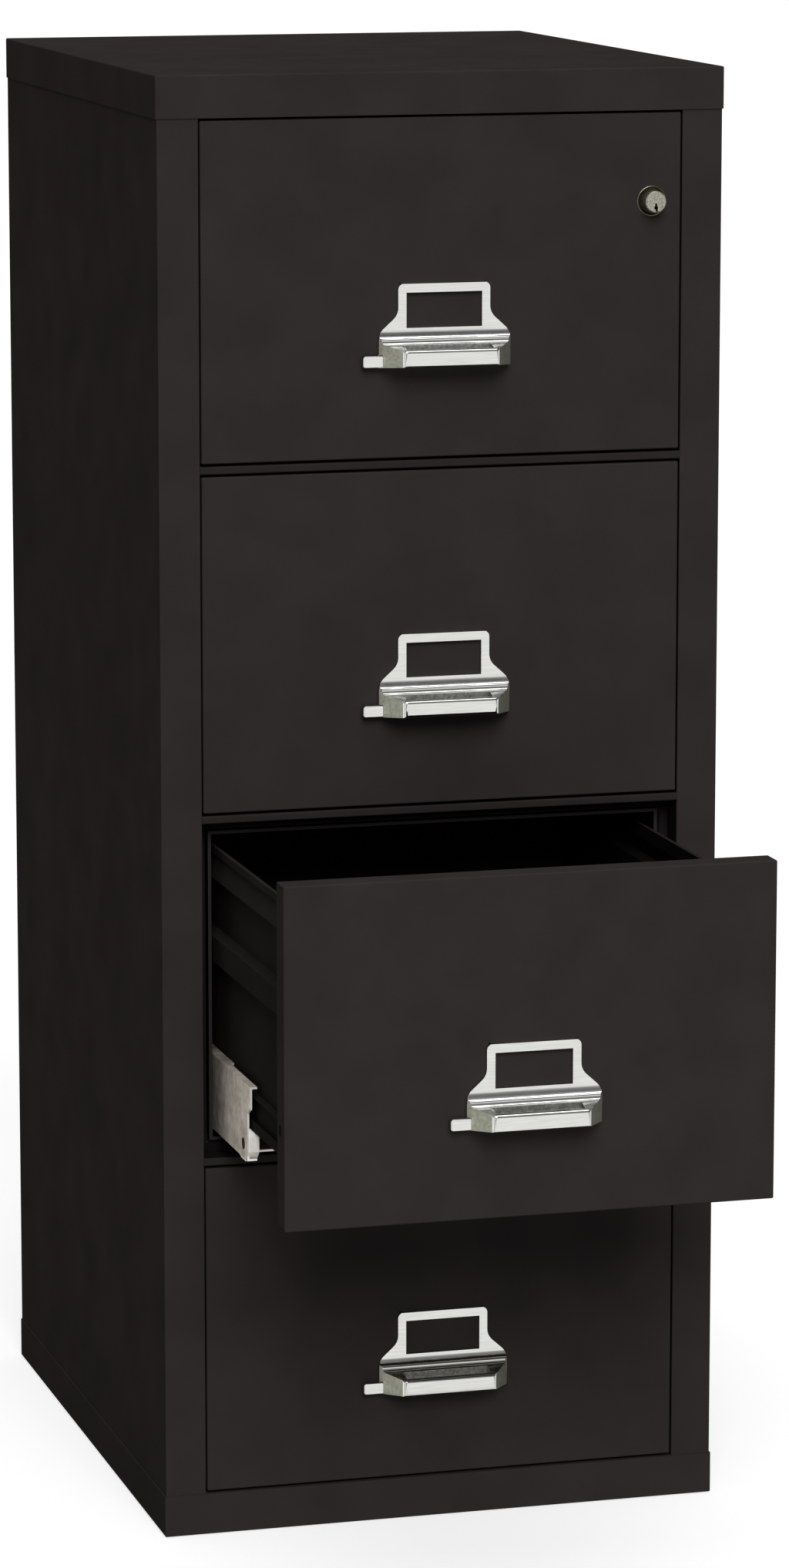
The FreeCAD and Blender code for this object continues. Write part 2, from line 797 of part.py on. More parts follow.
def handle():
    body = Part.Face(handle_profile()).extrude(V(2 * handle_half, 0, 0))
    body.translate(V(-handle_half, 0, 0))
    front_view = Part.Face(handle_front_outline())
    front_view.translate(V(0, cut_over, 0))
    body = body.common(front_view.extrude(V(0, -handle_reach - 2 * cut_over, 0)))
    plan = [
        (-handle_half - cut_over, face_y + cut_over),
        (handle_half + cut_over, face_y + cut_over),
        (handle_half + cut_over, face_y - handle_end_straight),
        (handle_half, face_y - handle_end_straight),
        (handle_bar_half, face_y - handle_reach),
        (-handle_bar_half, face_y - handle_reach),
        (-handle_half, face_y - handle_end_straight),
        (-handle_half - cut_over, face_y - handle_end_straight),
    ]
    prism = extruded(plan, "xy", handle_low - 2 * cut_over, plate_top + cut_over)
    corners = edges_where(prism, lambda box: thin(box, "y", face_y - handle_reach) and thin(box, "x", box.XMin))
    body = body.common(prism.makeFillet(bar_corner, corners))
    wall = handle_wall
    slope = (handle_half - handle_bar_half) / (handle_reach - handle_end_straight)
    ceiling = [
        (handle_half - wall, face_y + cut_over),
        (handle_half - wall, face_y - handle_end_straight + wall * slope / 2),
        (handle_bar_half - wall * slope, face_y - handle_reach + wall),
        (-handle_bar_half + wall * slope, face_y - handle_reach + wall),
        (-handle_half + wall, face_y - handle_end_straight + wall * slope / 2),
        (-handle_half + wall, face_y + cut_over),
    ]
    hollow = extruded(ceiling, "xy", handle_low - 2 * cut_over, handle_roof)
    trough = rounded_slot(trough_half, face_y - trough_front, face_y - trough_back,
                          trough_floor, ridge_top - ridge_round, trough_corner)
    window = block(-window_half, window_half, face_y - plate_thick - cut_over, face_y + cut_over,
                   window_low, window_top)
    window = window.makeFillet(window_corner, edges_where(window, lambda box: box.YMax - box.YMin > plate_thick))
    card = block(-window_half - card_margin, window_half + card_margin, face_y - card_depth, face_y + cut_over,
                 window_low - card_margin / 2, window_top + card_margin / 2)
    body = without(body, [hollow, trough, window, card])
    bosses = [rod_along(boss_radius, boss_reach, V(side * boss_half, face_y, boss_height), V(0, -1, 0))
              for side in (-1, 1)]
    body = fused([body] + bosses)
    notch = block(-handle_half - cut_over, -stem_left + stem_width + latch_travel,
                  face_y - tab_back - tab_thick - latch_clear, face_y - tab_back + latch_clear,
                  handle_low - 2 * cut_over, tab_low + tab_height + latch_clear)
    threads = screw_ways(screw_radius, -screw_bite - cut_over, cut_over)
    return without(body, [notch] + threads)


def handle_screws():
    # Two screws put in from behind the front's outer sheet
    screws = []
    for side in (-1, 1):
        place = V(side * boss_half, face_y + front_sheet, boss_height)
        head = rod_along(screw_head_radius, screw_head_height, place, V(0, 1, 0))
        shank = rod_along(screw_radius, front_sheet + screw_bite, place, V(0, -1, 0))
        screws.append(fused([head, shank]))
    return Part.Compound(screws)


def thumb_latch():
    # Tab at the handle's left end, stem through the front's sheet and bar to the left edge
    tab = block(-tab_outer, -stem_left + stem_width, face_y - tab_back - tab_thick, face_y - tab_back,
                tab_low, tab_low + tab_height)
    rounded = edges_where(tab, lambda box: thin(box, "x", -tab_outer) and box.YMax - box.YMin > tab_thick / 2)
    tab = tab.makeFillet(tab_corner, rounded)
    stem = block(-stem_left, -stem_left + stem_width, face_y - tab_back - tab_thick / 2,
                 face_y + bar_front + bar_thick / 2,
                 bar_low, bar_low + bar_height)
    bar = block(-front_half - latch_tip_out, -stem_left + stem_width,
                *inside_out(bar_front, bar_front + bar_thick), bar_low, bar_low + bar_height)
    return fused([tab, stem, bar])


def latch_spring():
    # Return spring in the bar's channel, wound along X
    wound = spring_length - 2 * slide_clear - spring_wire
    radius = (spring_outer - spring_wire) / 2
    helix = Part.makeHelix(wound / spring_turns, wound, radius)
    wire = Part.Wire(helix.Edges)
    section = Part.Wire(Part.makeCircle(spring_wire / 2, V(radius, 0, 0), V(0, 1, 0)))
    coil = wire.makePipeShell([section], True, True)
    coil.rotate(V(0, 0, 0), V(0, 1, 0), 90)
    start = -stem_left + stem_width + slide_clear + spring_wire / 2
    return moved(coil, start, face_y + bar_front + bar_thick / 2, bar_low + bar_height / 2)


# Lock

def along_lock(radius, start, end, drop=0.0):
    # Cylinder on the lock's axis between two depths behind the face, negative forwards
    return rod_along(radius, end - start, V(lock_x, face_y + start, lock_height - drop), V(0, 1, 0))


def lock_housing():
    bezel = Part.makeCone(bezel_radius, bezel_inner_radius, bezel_reach,
                          V(lock_x, face_y, lock_height), V(0, -1, 0))
    body = fused([bezel, along_lock(housing_radius, 0, housing_depth)])
    return body.cut(along_lock(plunger_radius + plunger_clear, -bezel_reach - cut_over, housing_depth + cut_over))


def lock_plunger():
    body = along_lock(plunger_radius, -plunger_out, plunger_rear)
    rim = edges_where(body, lambda box: thin(box, "y", face_y - plunger_out))
    body = body.makeChamfer(plunger_chamfer, rim)
    nose = along_lock(nose_radius, plunger_rear, nose_plane + nose_radius)
    reach = 4 * nose_radius
    wedge = extruded([
        (lock_x + nose_plane - plunger_rear, face_y + plunger_rear),
        (lock_x + nose_plane - plunger_rear + reach, face_y + plunger_rear),
        (lock_x + nose_plane - plunger_rear + reach, face_y + plunger_rear + reach),
        (lock_x + nose_plane - plunger_rear - reach, face_y + plunger_rear + reach),
    ], "xy", lock_height - reach, lock_height + reach)
    body = fused([body, nose.cut(wedge)])
    return body.cut(along_lock(plug_radius + plug_clear, -plunger_out - cut_over, -plunger_out + plug_length,
                               plug_drop))


def lock_plug():
    # Round plug, its lower edge near the plunger's rim, with an upright keyway: an upper and a lower
    # slot set a little apart sideways, and a wider place where they meet
    body = along_lock(plug_radius, -plunger_out, -plunger_out + plug_length - slide_clear, plug_drop)
    front = face_y - plunger_out - cut_over
    centre = lock_height - plug_drop
    middle = centre - ward_drop
    left = lock_x - keyway_width / 2
    right = lock_x + keyway_width / 2
    spans = [
        (left, right, middle, centre + keyway_top),
        (left + keyway_kink, right + keyway_kink, centre - plug_radius - cut_over, middle),
        (left - ward_width, right + ward_width, middle - ward_height / 2, middle + ward_height / 2),
    ]
    return without(body, [block(x0, x1, front, front + keyway_depth, z0, z1) for x0, x1, z0, z1 in spans])


def lock_bolt():
    # Wedge-driven bolt: the plunger's nose pushes it to the right as far as it goes back itself
    start, end = bolt_front, bolt_front + bolt_thick
    tip = front_half + bolt_tip_out - lock_travel
    plane = lock_x + nose_plane + wedge_clear
    outline = [
        (plane - start, face_y + start),
        (tip, face_y + start),
        (tip, face_y + end),
        (plane - end, face_y + end),
    ]
    return extruded(outline, "xy", lock_height - bolt_half_height, lock_height + bolt_half_height)


def lock_rod():
    rod_x = opening_half + shell_sheet + rod_gap
    start, end = inside_out(rod_front, rod_front + rod_size)
    rod = block(rod_x, rod_x + rod_size, start, end, opening_low + rod_bottom_margin, opening_top - rod_top_margin)
    dogs = []
    for number in range(1, drawer_count + 1):
        middle = front_bottom(number) + lock_height
        dogs.append(block(opening_half + shell_sheet + dog_clear, rod_x + rod_size / 2, start, end,
                          middle - dog_height / 2, middle + dog_height / 2))
    return fused([rod] + dogs)


def rod_guides():
    rod_x = opening_half + shell_sheet + rod_gap
    start, end = inside_out(rod_front, rod_front + rod_size)
    guides = []
    for share in guide_places:
        low = opening_low + share * (opening_top - opening_low)
        guide = block(opening_half + shell_sheet, rod_x + rod_size + guide_wall, start - guide_wall,
                      end + guide_wall, low, low + guide_height)
        room = block(rod_x - slide_clear, rod_x + rod_size + slide_clear, start - slide_clear,
                     end + slide_clear, low - cut_over, low + guide_height + cut_over)
        guides.append(guide.cut(room))
    return Part.Compound(guides)


# Assembly

def pair(shape):
    return Part.Compound([shape, mirrored(shape)])


os.makedirs("parts", exist_ok=True)

right_wrap = side_wrap()
export(bolt_slot(right_wrap), "right_side_wrap")
export(latch_slots(mirrored(right_wrap)), "left_side_wrap")
export(back_panel(), "back_panel")
export(top_cap(), "top_cap")
export(base_pan(), "base_pan")
export(cross_rails(), "cross_rails")
export(Part.Compound([liner(number) for number in range(1, drawer_count + 1)]), "compartment_liners")
export(insulation_fill(), "insulation_fill")
export(latch_strikes(), "latch_strikes")
export(rod_guides(), "lock_rod_guides")
export(lock_rod(), "lock_rod")

slides = pair(cabinet_slide())
export(Part.Compound([moved(slides, z=front_bottom(number)) for number in range(1, drawer_count + 1)]),
       "cabinet_slides")

head_ways = screw_ways(screw_head_radius, front_sheet, front_sheet + screw_head_height)
plain_pan = without(front_pan(), latch_ways() + screw_ways(screw_radius, -cut_over, front_sheet + cut_over))
plain_fill = without(front_fill(), latch_ways() + head_ways)
carried = {
    "inner_plate": inner_plate(),
    "tray": tray(),
    "runners": pair(drawer_runner()),
    "handle": handle(),
    "screws": handle_screws(),
}
latch = thumb_latch()
spring = latch_spring()
middle_pair = Part.Compound([mid_slide(), mirrored(mid_slide()), slide_tie()])
glide_pair = pair(slide_glide())

for number in range(1, drawer_count + 1):
    pull = pull_of(number)
    rise = front_bottom(number)
    drawer = dict(carried)
    drawer["front"] = without(plain_pan, lock_ways()) if number == 1 else plain_pan
    drawer["fill"] = without(plain_fill, lock_ways()) if number == 1 else plain_fill
    for name, shape in drawer.items():
        export(moved(shape, y=-pull, z=rise), "drawer_%d_%s" % (number, name))
    export(moved(latch, y=-pull, z=rise), "thumb_latch_%d" % number)
    export(moved(spring, y=-pull, z=rise), "latch_spring_%d" % number)
    export(moved(middle_pair, y=-pull * mid_travel_share, z=rise), "mid_slides_%d" % number)
    export(moved(glide_pair, y=-pull * mid_travel_share, z=rise), "slide_glides_%d" % number)

lock_rise = front_bottom(1)
for name, shape in (("lock_housing", lock_housing()), ("lock_plunger", lock_plunger()),
                    ("lock_plug", lock_plug()), ("lock_bolt", lock_bolt())):
    export(moved(shape, y=-pull_of(1), z=lock_rise), name)
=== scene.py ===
import math

import bmesh
import bpy
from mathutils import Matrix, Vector


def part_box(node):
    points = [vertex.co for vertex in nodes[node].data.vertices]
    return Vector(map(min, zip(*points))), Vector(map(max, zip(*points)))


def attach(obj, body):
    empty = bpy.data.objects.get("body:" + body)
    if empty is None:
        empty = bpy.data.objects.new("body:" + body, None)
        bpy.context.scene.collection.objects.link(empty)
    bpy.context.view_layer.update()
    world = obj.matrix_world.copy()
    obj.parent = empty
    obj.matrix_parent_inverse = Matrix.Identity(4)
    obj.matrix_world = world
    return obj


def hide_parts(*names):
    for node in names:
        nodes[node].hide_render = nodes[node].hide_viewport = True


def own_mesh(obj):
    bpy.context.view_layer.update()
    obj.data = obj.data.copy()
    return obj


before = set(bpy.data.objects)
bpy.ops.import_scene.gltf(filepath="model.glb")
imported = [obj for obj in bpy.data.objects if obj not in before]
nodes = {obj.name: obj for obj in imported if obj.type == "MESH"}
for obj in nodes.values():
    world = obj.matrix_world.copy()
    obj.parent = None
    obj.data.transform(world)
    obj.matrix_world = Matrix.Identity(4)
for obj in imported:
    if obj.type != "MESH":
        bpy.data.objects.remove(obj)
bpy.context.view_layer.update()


# Camera: a long lens a little left of the cabinet's middle, looking slightly down, as the photo was taken.
# The place, direction and focal length come from the photo's vanishing lines; the frame is 1024 by 2035.
photo_focal_pixels = 7599.0
photo_height_pixels = 2035
sensor_mm = 36.0
camera_place = Vector((-1.458, -5.3675, 1.650))
camera_forward = Vector((0.2651, 0.9476, -0.1792))

lens = bpy.data.cameras.new("photo_camera")
lens.sensor_width = sensor_mm
lens.lens = photo_focal_pixels / photo_height_pixels * sensor_mm
lens.clip_end = 200.0
camera = bpy.data.objects.new("photo_camera", lens)
camera.location = camera_place
camera.rotation_euler = camera_forward.to_track_quat("-Z", "Y").to_euler()
bpy.context.scene.collection.objects.link(camera)
bpy.context.scene.camera = camera


# Studio: a pale floor out to the horizon under two broad soft lights, one in front and a little to the left,
# one overhead, and a faint even sky. Rays from the lens and off mirrors see white walls and a grey ceiling.
def linear(hex_colour):
    channels = [int(hex_colour[i:i + 2], 16) / 255 for i in (0, 2, 4)]
    return [c / 12.92 if c <= 0.04045 else ((c + 0.055) / 1.055) ** 2.4 for c in channels] + [1.0]


def add(tree, kind, inputs=None, stops=(), **settings):
    # Adds a node. Inputs take another node's output or a plain value, a ramp takes its stops' places and
    # colours, and settings are the node's properties or more inputs with plain values.
    made = tree.nodes.new(kind)
    for name, value in settings.items():
        if hasattr(made, name):
            setattr(made, name, value)
        else:
            made.inputs[name.replace("_", " ")].default_value = value
    for name, value in (inputs or {}).items():
        if isinstance(value, bpy.types.NodeSocket):
            tree.links.new(value, made.inputs[name])
        else:
            made.inputs[name].default_value = value
    if stops:
        elements = made.color_ramp.elements
        while len(elements) < len(stops):
            elements.new(0.5)
        for element, (place, colour) in zip(elements, stops):
            element.position = place
            element.color = colour
    return made


def new_material(name):
    material = bpy.data.materials.new(name)
    material.use_nodes = True
    material.node_tree.nodes.clear()
    return material, material.node_tree


def seen_directly(tree):
    # 1 for rays from the lens, off a mirror or through glass, else 0
    ray = add(tree, "ShaderNodeLightPath")
    seen = 0.0
    for kind in ("Is Camera Ray", "Is Glossy Ray", "Is Transmission Ray"):
        either = add(tree, "ShaderNodeMath", {0: seen, 1: ray.outputs[kind]}, operation="MAXIMUM")
        seen = either.outputs[0]
    return seen


bpy.context.scene.view_settings.view_transform = "Standard"
sky = bpy.data.worlds.new("studio_sky")
sky.use_nodes = True
tree = sky.node_tree
tree.nodes.clear()
ambient = add(tree, "ShaderNodeBackground", Color=linear("ffffff"), Strength=0.15)
direction = add(tree, "ShaderNodeTexCoord")
upward = add(tree, "ShaderNodeSeparateXYZ", {"Vector": direction.outputs["Generated"]})
ceiling = add(tree, "ShaderNodeValToRGB", {"Fac": upward.outputs["Z"]},
              stops=((0.30, linear("ffffff")), (0.62, linear("9e9ea4"))))
room = add(tree, "ShaderNodeBackground", {"Color": ceiling.outputs["Color"]}, Strength=1.0)
mixed = add(tree, "ShaderNodeMixShader", {0: seen_directly(tree), 1: ambient.outputs[0], 2: room.outputs[0]})
add(tree, "ShaderNodeOutputWorld", {"Surface": mixed.outputs[0]})
bpy.context.scene.world = sky

for name, bearing, height, strength, spread in (("key", -8, 36, 2.68, 34), ("overhead", 0, 87, 1.40, 50)):
    sun = bpy.data.lights.new(name, "SUN")
    sun.energy = strength
    sun.angle = math.radians(spread)
    lamp = bpy.data.objects.new(name, sun)
    level = math.cos(math.radians(height))
    shining = Vector((-math.sin(math.radians(bearing)) * level, math.cos(math.radians(bearing)) * level,
                      -math.sin(math.radians(height))))
    lamp.rotation_euler = shining.to_track_quat("-Z", "Y").to_euler()
    bpy.context.scene.collection.objects.link(lamp)

floor_reach, floor_drop = 90.0, 0.0005
floor_mesh = bpy.data.meshes.new("floor")
plan = bmesh.new()
bmesh.ops.create_grid(plan, x_segments=1, y_segments=1, size=floor_reach)
plan.to_mesh(floor_mesh)
plan.free()
floor = bpy.data.objects.new("floor", floor_mesh)
floor.location.z = -floor_drop
bpy.context.scene.collection.objects.link(floor)
pale, tree = new_material("pale_studio_floor")
lit = add(tree, "ShaderNodeBsdfDiffuse", Color=linear("b9b9b9"))
lift = add(tree, "ShaderNodeEmission", {"Strength": seen_directly(tree)}, Color=(0.57, 0.57, 0.57, 1))
both = add(tree, "ShaderNodeAddShader", {0: lit.outputs[0], 1: lift.outputs[0]})
add(tree, "ShaderNodeOutputMaterial", {"Surface": both.outputs[0]})
floor_mesh.materials.append(pale)


# Body sheets: 1.2 mm steel, folded and spot welded, sprayed with baked enamel. The finish is a satin
# black-brown, even from a step away, with the fine orange peel and slight clouding of a sprayed coat.
def patched(tree, colour, place, low, high, patch_hex):
    # Turns a colour into another inside an upright box, given by two corners
    parts = add(tree, "ShaderNodeSeparateXYZ", {"Vector": place.outputs["Object"]})
    share = 1.0
    for axis in range(3):
        within = add(tree, "ShaderNodeMath", {0: parts.outputs[axis], 1: (low[axis] + high[axis]) / 2,
                                              2: (high[axis] - low[axis]) / 2}, operation="COMPARE")
        both = add(tree, "ShaderNodeMath", {0: share, 1: within.outputs[0]}, operation="MULTIPLY")
        share = both.outputs[0]
    mix = add(tree, "ShaderNodeMixRGB", {"Fac": share, "Color1": colour, "Color2": linear(patch_hex)})
    return mix.outputs["Color"]


def painted_shade_inwards(tree, colour, place, inward_shade_hex):
    # Turns a colour into another on faces that look right or left towards the middle of the cabinet: painted
    # shade on the trays' inner walls
    across = add(tree, "ShaderNodeSeparateXYZ", {"Vector": place.outputs["Object"]})
    facing = add(tree, "ShaderNodeSeparateXYZ", {"Vector": place.outputs["Normal"]})
    product = add(tree, "ShaderNodeMath", {0: across.outputs["X"], 1: facing.outputs["X"]},
                  operation="MULTIPLY")
    inward = add(tree, "ShaderNodeMath", {0: product.outputs[0], 1: -0.01}, operation="LESS_THAN")
    mix = add(tree, "ShaderNodeMixRGB", {"Fac": inward.outputs[0], "Color1": colour,
                                         "Color2": linear(inward_shade_hex)})
    return mix.outputs["Color"]


def enamel(name, light_hex, dark_hex, roughness, patch=None, inward_shade_hex=None):
    # Enamel, sprayed and baked: soft clouds 60 mm wide in the colour, and orange peel 1.6 mm across, a
    # little coarser than the real 1 mm so that it shows. It spreads light so evenly that no highlight is
    # left. A patch recolours a box, mostly as painted shade, and inward faces can get painted shade.
    material, tree = new_material(name)
    place = add(tree, "ShaderNodeTexCoord")
    cloud = add(tree, "ShaderNodeTexNoise", {"Vector": place.outputs["Object"]},
                Scale=1 / 0.060, Detail=3.0, Roughness=0.55)
    tone = add(tree, "ShaderNodeValToRGB", {"Fac": cloud.outputs["Fac"]},
               stops=((0.3, linear(dark_hex)), (0.7, linear(light_hex))))
    colour = tone.outputs["Color"]
    if patch:
        colour = patched(tree, colour, place, *patch)
    if inward_shade_hex:
        colour = painted_shade_inwards(tree, colour, place, inward_shade_hex)
    peel = add(tree, "ShaderNodeTexNoise", {"Vector": place.outputs["Object"]},
               Scale=1 / 0.0016, Detail=2.0, Roughness=0.5)
    sheen = add(tree, "ShaderNodeMapRange", {"Value": cloud.outputs["Fac"], "To Min": roughness - 0.05,
                                             "To Max": roughness + 0.05})
    bump = add(tree, "ShaderNodeBump", {"Height": peel.outputs["Fac"]}, Strength=0.12, Distance=0.00012)
    coat = add(tree, "ShaderNodeBsdfPrincipled",
               {"Base Color": colour, "Roughness": sheen.outputs["Result"],
                "Normal": bump.outputs["Normal"], "Specular IOR Level": 0.0})
    add(tree, "ShaderNodeOutputMaterial", {"Surface": coat.outputs[0]})
    return material


def finish(material, *names):
    for name in names:
        mesh = nodes[name].data
        mesh.materials.clear()
        mesh.materials.append(material)


# Inside the drawer openings the turned-in edges are painted nearly black: painted shade in the rebates
front_gap, front_sheet = 0.0020, 0.0012
front_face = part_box("drawer_1_front")[0][1]
jamb_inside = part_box("cross_rails")[1][0] + 0.0002
rebate_shade = ((-jamb_inside, front_face + front_sheet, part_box("drawer_4_front")[0][2] - front_gap),
          (jamb_inside, 0.0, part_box("drawer_1_front")[1][2] + front_gap))
body_enamel = enamel("baked_enamel_sprayed", "302c2b", "2b2827", 0.55)
jamb_enamel = enamel("baked_enamel_sprayed_drifted", "302c2b", "2b2827", 0.55, (*rebate_shade, "1c1a19"))
finish(jamb_enamel, "right_side_wrap", "left_side_wrap", "top_cap", "base_pan")
# The cross rails are painted darker than the sides as painted shade under the drawers, and nearly black in
# the rebates as painted shade
rail_enamel = enamel("baked_enamel_sprayed_thinly", "292625", "252221", 0.55, (*rebate_shade, "181615"))
finish(rail_enamel, "cross_rails")
finish(body_enamel, "back_panel")


# Insulation: gypsum and cement poured in around the compartments and inside each drawer front, set
# hard, with a chalky skin full of small air holes. It only shows in the narrow groove round each
# compartment's lip, where it is painted black as painted shade in the groove.
def poured_gypsum(name, patch=None):
    # Gypsum, poured and set: matte, off-white, pores about 3 mm across, painted black in the patch as shade
    material, tree = new_material(name)
    place = add(tree, "ShaderNodeTexCoord")
    pores = add(tree, "ShaderNodeTexVoronoi", {"Vector": place.outputs["Object"]}, Scale=1 / 0.006)
    holes = add(tree, "ShaderNodeValToRGB", {"Fac": pores.outputs["Distance"]},
                stops=((0.12, linear("a9a49b")), (0.3, linear("cfcac0"))))
    colour = holes.outputs["Color"]
    if patch:
        colour = patched(tree, colour, place, *patch)
    bump = add(tree, "ShaderNodeBump", {"Height": holes.outputs["Color"]}, Strength=0.4, Distance=0.001)
    chalk = add(tree, "ShaderNodeBsdfPrincipled",
                {"Base Color": colour, "Normal": bump.outputs["Normal"]}, Roughness=0.95)
    add(tree, "ShaderNodeOutputMaterial", {"Surface": chalk.outputs[0]})
    return material


drawers = (1, 2, 3, 4)
finish(poured_gypsum("gypsum_poured_sprayed", (*rebate_shade, "0a0909")), "insulation_fill")
finish(poured_gypsum("gypsum_poured"), *["drawer_%d_fill" % n for n in drawers])


# Compartments: four inner boxes of folded steel whose front lips close against the drawer fronts. Their
# enamel is painted almost black as painted shade inside the cabinet; the lips' front faces keep a plain tone.
liner_low, liner_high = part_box("compartment_liners")
lip_face_depth, around = 0.0003, 0.001
lip_edge = ((liner_low[0] - around, liner_low[1] - around, liner_low[2] - around),
            (liner_high[0] + around, liner_low[1] + lip_face_depth, liner_high[2] + around))
inner_enamel = enamel("baked_enamel_thin_coat", "100f0e", "0b0a0a", 0.6, (*lip_edge, "2c2929"))
finish(inner_enamel, "compartment_liners")


# Slides, rods and screws: cold-rolled steel with a clear-passivated zinc plating. It looks warm grey,
# softly cloudy, with a faint grain from rolling and a few stains.
bore_radius_seen = 0.0056


def shaded_bore(tree, colour, place, bore):
    # Turns a colour dark inside a bore along X, given by its Y and Z: painted shade in the hole
    flat = add(tree, "ShaderNodeMapping", {"Vector": place.outputs["Object"]}, Scale=(0.0, 1.0, 1.0))
    away = add(tree, "ShaderNodeVectorMath", {0: flat.outputs["Vector"], 1: (0.0, *bore)},
               operation="DISTANCE")
    inside = add(tree, "ShaderNodeMath", {0: away.outputs["Value"], 1: bore_radius_seen},
                 operation="LESS_THAN")
    mix = add(tree, "ShaderNodeMixRGB", {"Fac": inside.outputs[0], "Color1": colour,
                                         "Color2": linear("2a221b")})
    return mix.outputs["Color"]


def painted_highlight_forward(tree, colour, place, highlight_hex):
    # Turns a colour nearly white on faces that look straight forward, the sheet's front edges: a painted
    # highlight
    facing = add(tree, "ShaderNodeSeparateXYZ", {"Vector": place.outputs["Normal"]})
    forward = add(tree, "ShaderNodeMath", {0: facing.outputs["Y"], 1: -0.9}, operation="LESS_THAN")
    mix = add(tree, "ShaderNodeMixRGB", {"Fac": forward.outputs[0], "Color1": colour,
                                         "Color2": linear(highlight_hex)})
    return mix.outputs["Color"]


def shaded_and_smeared(tree, colour, place, darkening_start, darkening_full):
    # Darkens a colour from one Y to another towards the cabinet, in streaks 5 mm wide: partly painted shade
    # from the jamb, partly old grease
    parts = add(tree, "ShaderNodeSeparateXYZ", {"Vector": place.outputs["Object"]})
    streaks = add(tree, "ShaderNodeTexNoise", {"Vector": place.outputs["Object"]},
                  Scale=1 / 0.010, Detail=4.0)
    depth = add(tree, "ShaderNodeMapRange", {"Value": parts.outputs["Y"], "From Min": darkening_start,
                                             "From Max": darkening_full})
    share = add(tree, "ShaderNodeMath", {0: depth.outputs["Result"], 1: streaks.outputs["Fac"]},
                operation="MULTIPLY")
    mix = add(tree, "ShaderNodeMixRGB", {"Fac": share.outputs[0], "Color1": colour,
                                         "Color2": linear("1c1713")})
    return mix.outputs["Color"]


def zinc_plate(name, light_hex, dark_hex, bore=None, highlight_hex=None, shade_and_smear=None):
    # Zinc plate, barrel plated: clouds 14 mm wide, rolling grain 0.4 mm wide running along Y, and bright
    # scuffs 1.5 mm wide and 6 mm tall where other parts have rubbed
    material, tree = new_material(name)
    place = add(tree, "ShaderNodeTexCoord")
    cloud = add(tree, "ShaderNodeTexNoise", {"Vector": place.outputs["Object"]},
                Scale=1 / 0.014, Detail=5.0, Roughness=0.62)
    tone = add(tree, "ShaderNodeValToRGB", {"Fac": cloud.outputs["Fac"]},
               stops=((0.32, linear(dark_hex)), (0.68, linear(light_hex))))
    upright = add(tree, "ShaderNodeMapping", {"Vector": place.outputs["Object"]}, Scale=(1.0, 1.0, 0.25))
    rubs = add(tree, "ShaderNodeTexNoise", {"Vector": upright.outputs["Vector"]},
               Scale=1 / 0.0030, Detail=1.0)
    scuff = add(tree, "ShaderNodeMapRange", {"Value": rubs.outputs["Fac"], "From Min": 0.66,
                                             "From Max": 0.74})
    scuffed = add(tree, "ShaderNodeMixRGB", {"Fac": scuff.outputs["Result"], "Color1": tone.outputs["Color"],
                                             "Color2": linear("f4eee4")})
    colour = scuffed.outputs["Color"]
    # Optional painted light: a painted highlight on forward faces, painted shade with grease towards the
    # cabinet, and painted shade in the bore
    if highlight_hex:
        colour = painted_highlight_forward(tree, colour, place, highlight_hex)
    if shade_and_smear:
        colour = shaded_and_smeared(tree, colour, place, *shade_and_smear)
    if bore:
        colour = shaded_bore(tree, colour, place, bore)
    along = add(tree, "ShaderNodeMapping", {"Vector": place.outputs["Object"]}, Scale=(1.0, 0.04, 1.0))
    grain = add(tree, "ShaderNodeTexNoise", {"Vector": along.outputs["Vector"]},
                Scale=1 / 0.0008, Detail=2.0, Roughness=0.5)
    rough = add(tree, "ShaderNodeMapRange", {"Value": cloud.outputs["Fac"], "To Min": 0.34, "To Max": 0.52})
    bump = add(tree, "ShaderNodeBump", {"Height": grain.outputs["Fac"]}, Strength=0.15, Distance=0.0001)
    plate = add(tree, "ShaderNodeBsdfPrincipled",
                {"Base Color": colour, "Roughness": rough.outputs["Result"],
                 "Normal": bump.outputs["Normal"]}, Metallic=0.35)
    add(tree, "ShaderNodeOutputMaterial", {"Surface": plate.outputs[0]})
    return material


bore_from_front, bore_from_foot = 0.0255, 0.0131


def slide_bore(number):
    # Middle of the bore near the front of a drawer's middle members, as Y and Z
    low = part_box("mid_slides_%d" % number)[0]
    return low[1] + bore_from_front, low[2] + bore_from_foot


zinc_light, zinc_dark = "eae0d1", "b5aca0"
zinc = zinc_plate("zinc_plate_clear", zinc_light, zinc_dark)
# The cabinet slides are painted dark brown: painted shade inside their channels
finish(zinc_plate("zinc_plate_clear_oiled", "75675a", "54473c"), "cabinet_slides")
finish(zinc, "latch_strikes", "lock_rod_guides", "lock_rod", *["drawer_%d_screws" % n for n in drawers])
darkening_offset, darkening_length = 0.080, 0.030
# The middle members get a painted highlight on forward faces, painted shade with old grease towards the
# cabinet, and painted shade in the bore
for n in drawers:
    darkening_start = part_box("mid_slides_%d" % n)[0][1] + darkening_offset
    finish(zinc_plate("zinc_plate_clear_greased_%d" % n, zinc_light, zinc_dark, slide_bore(n), "fbf8f3",
                      (darkening_start, darkening_start + darkening_length)), "mid_slides_%d" % n)


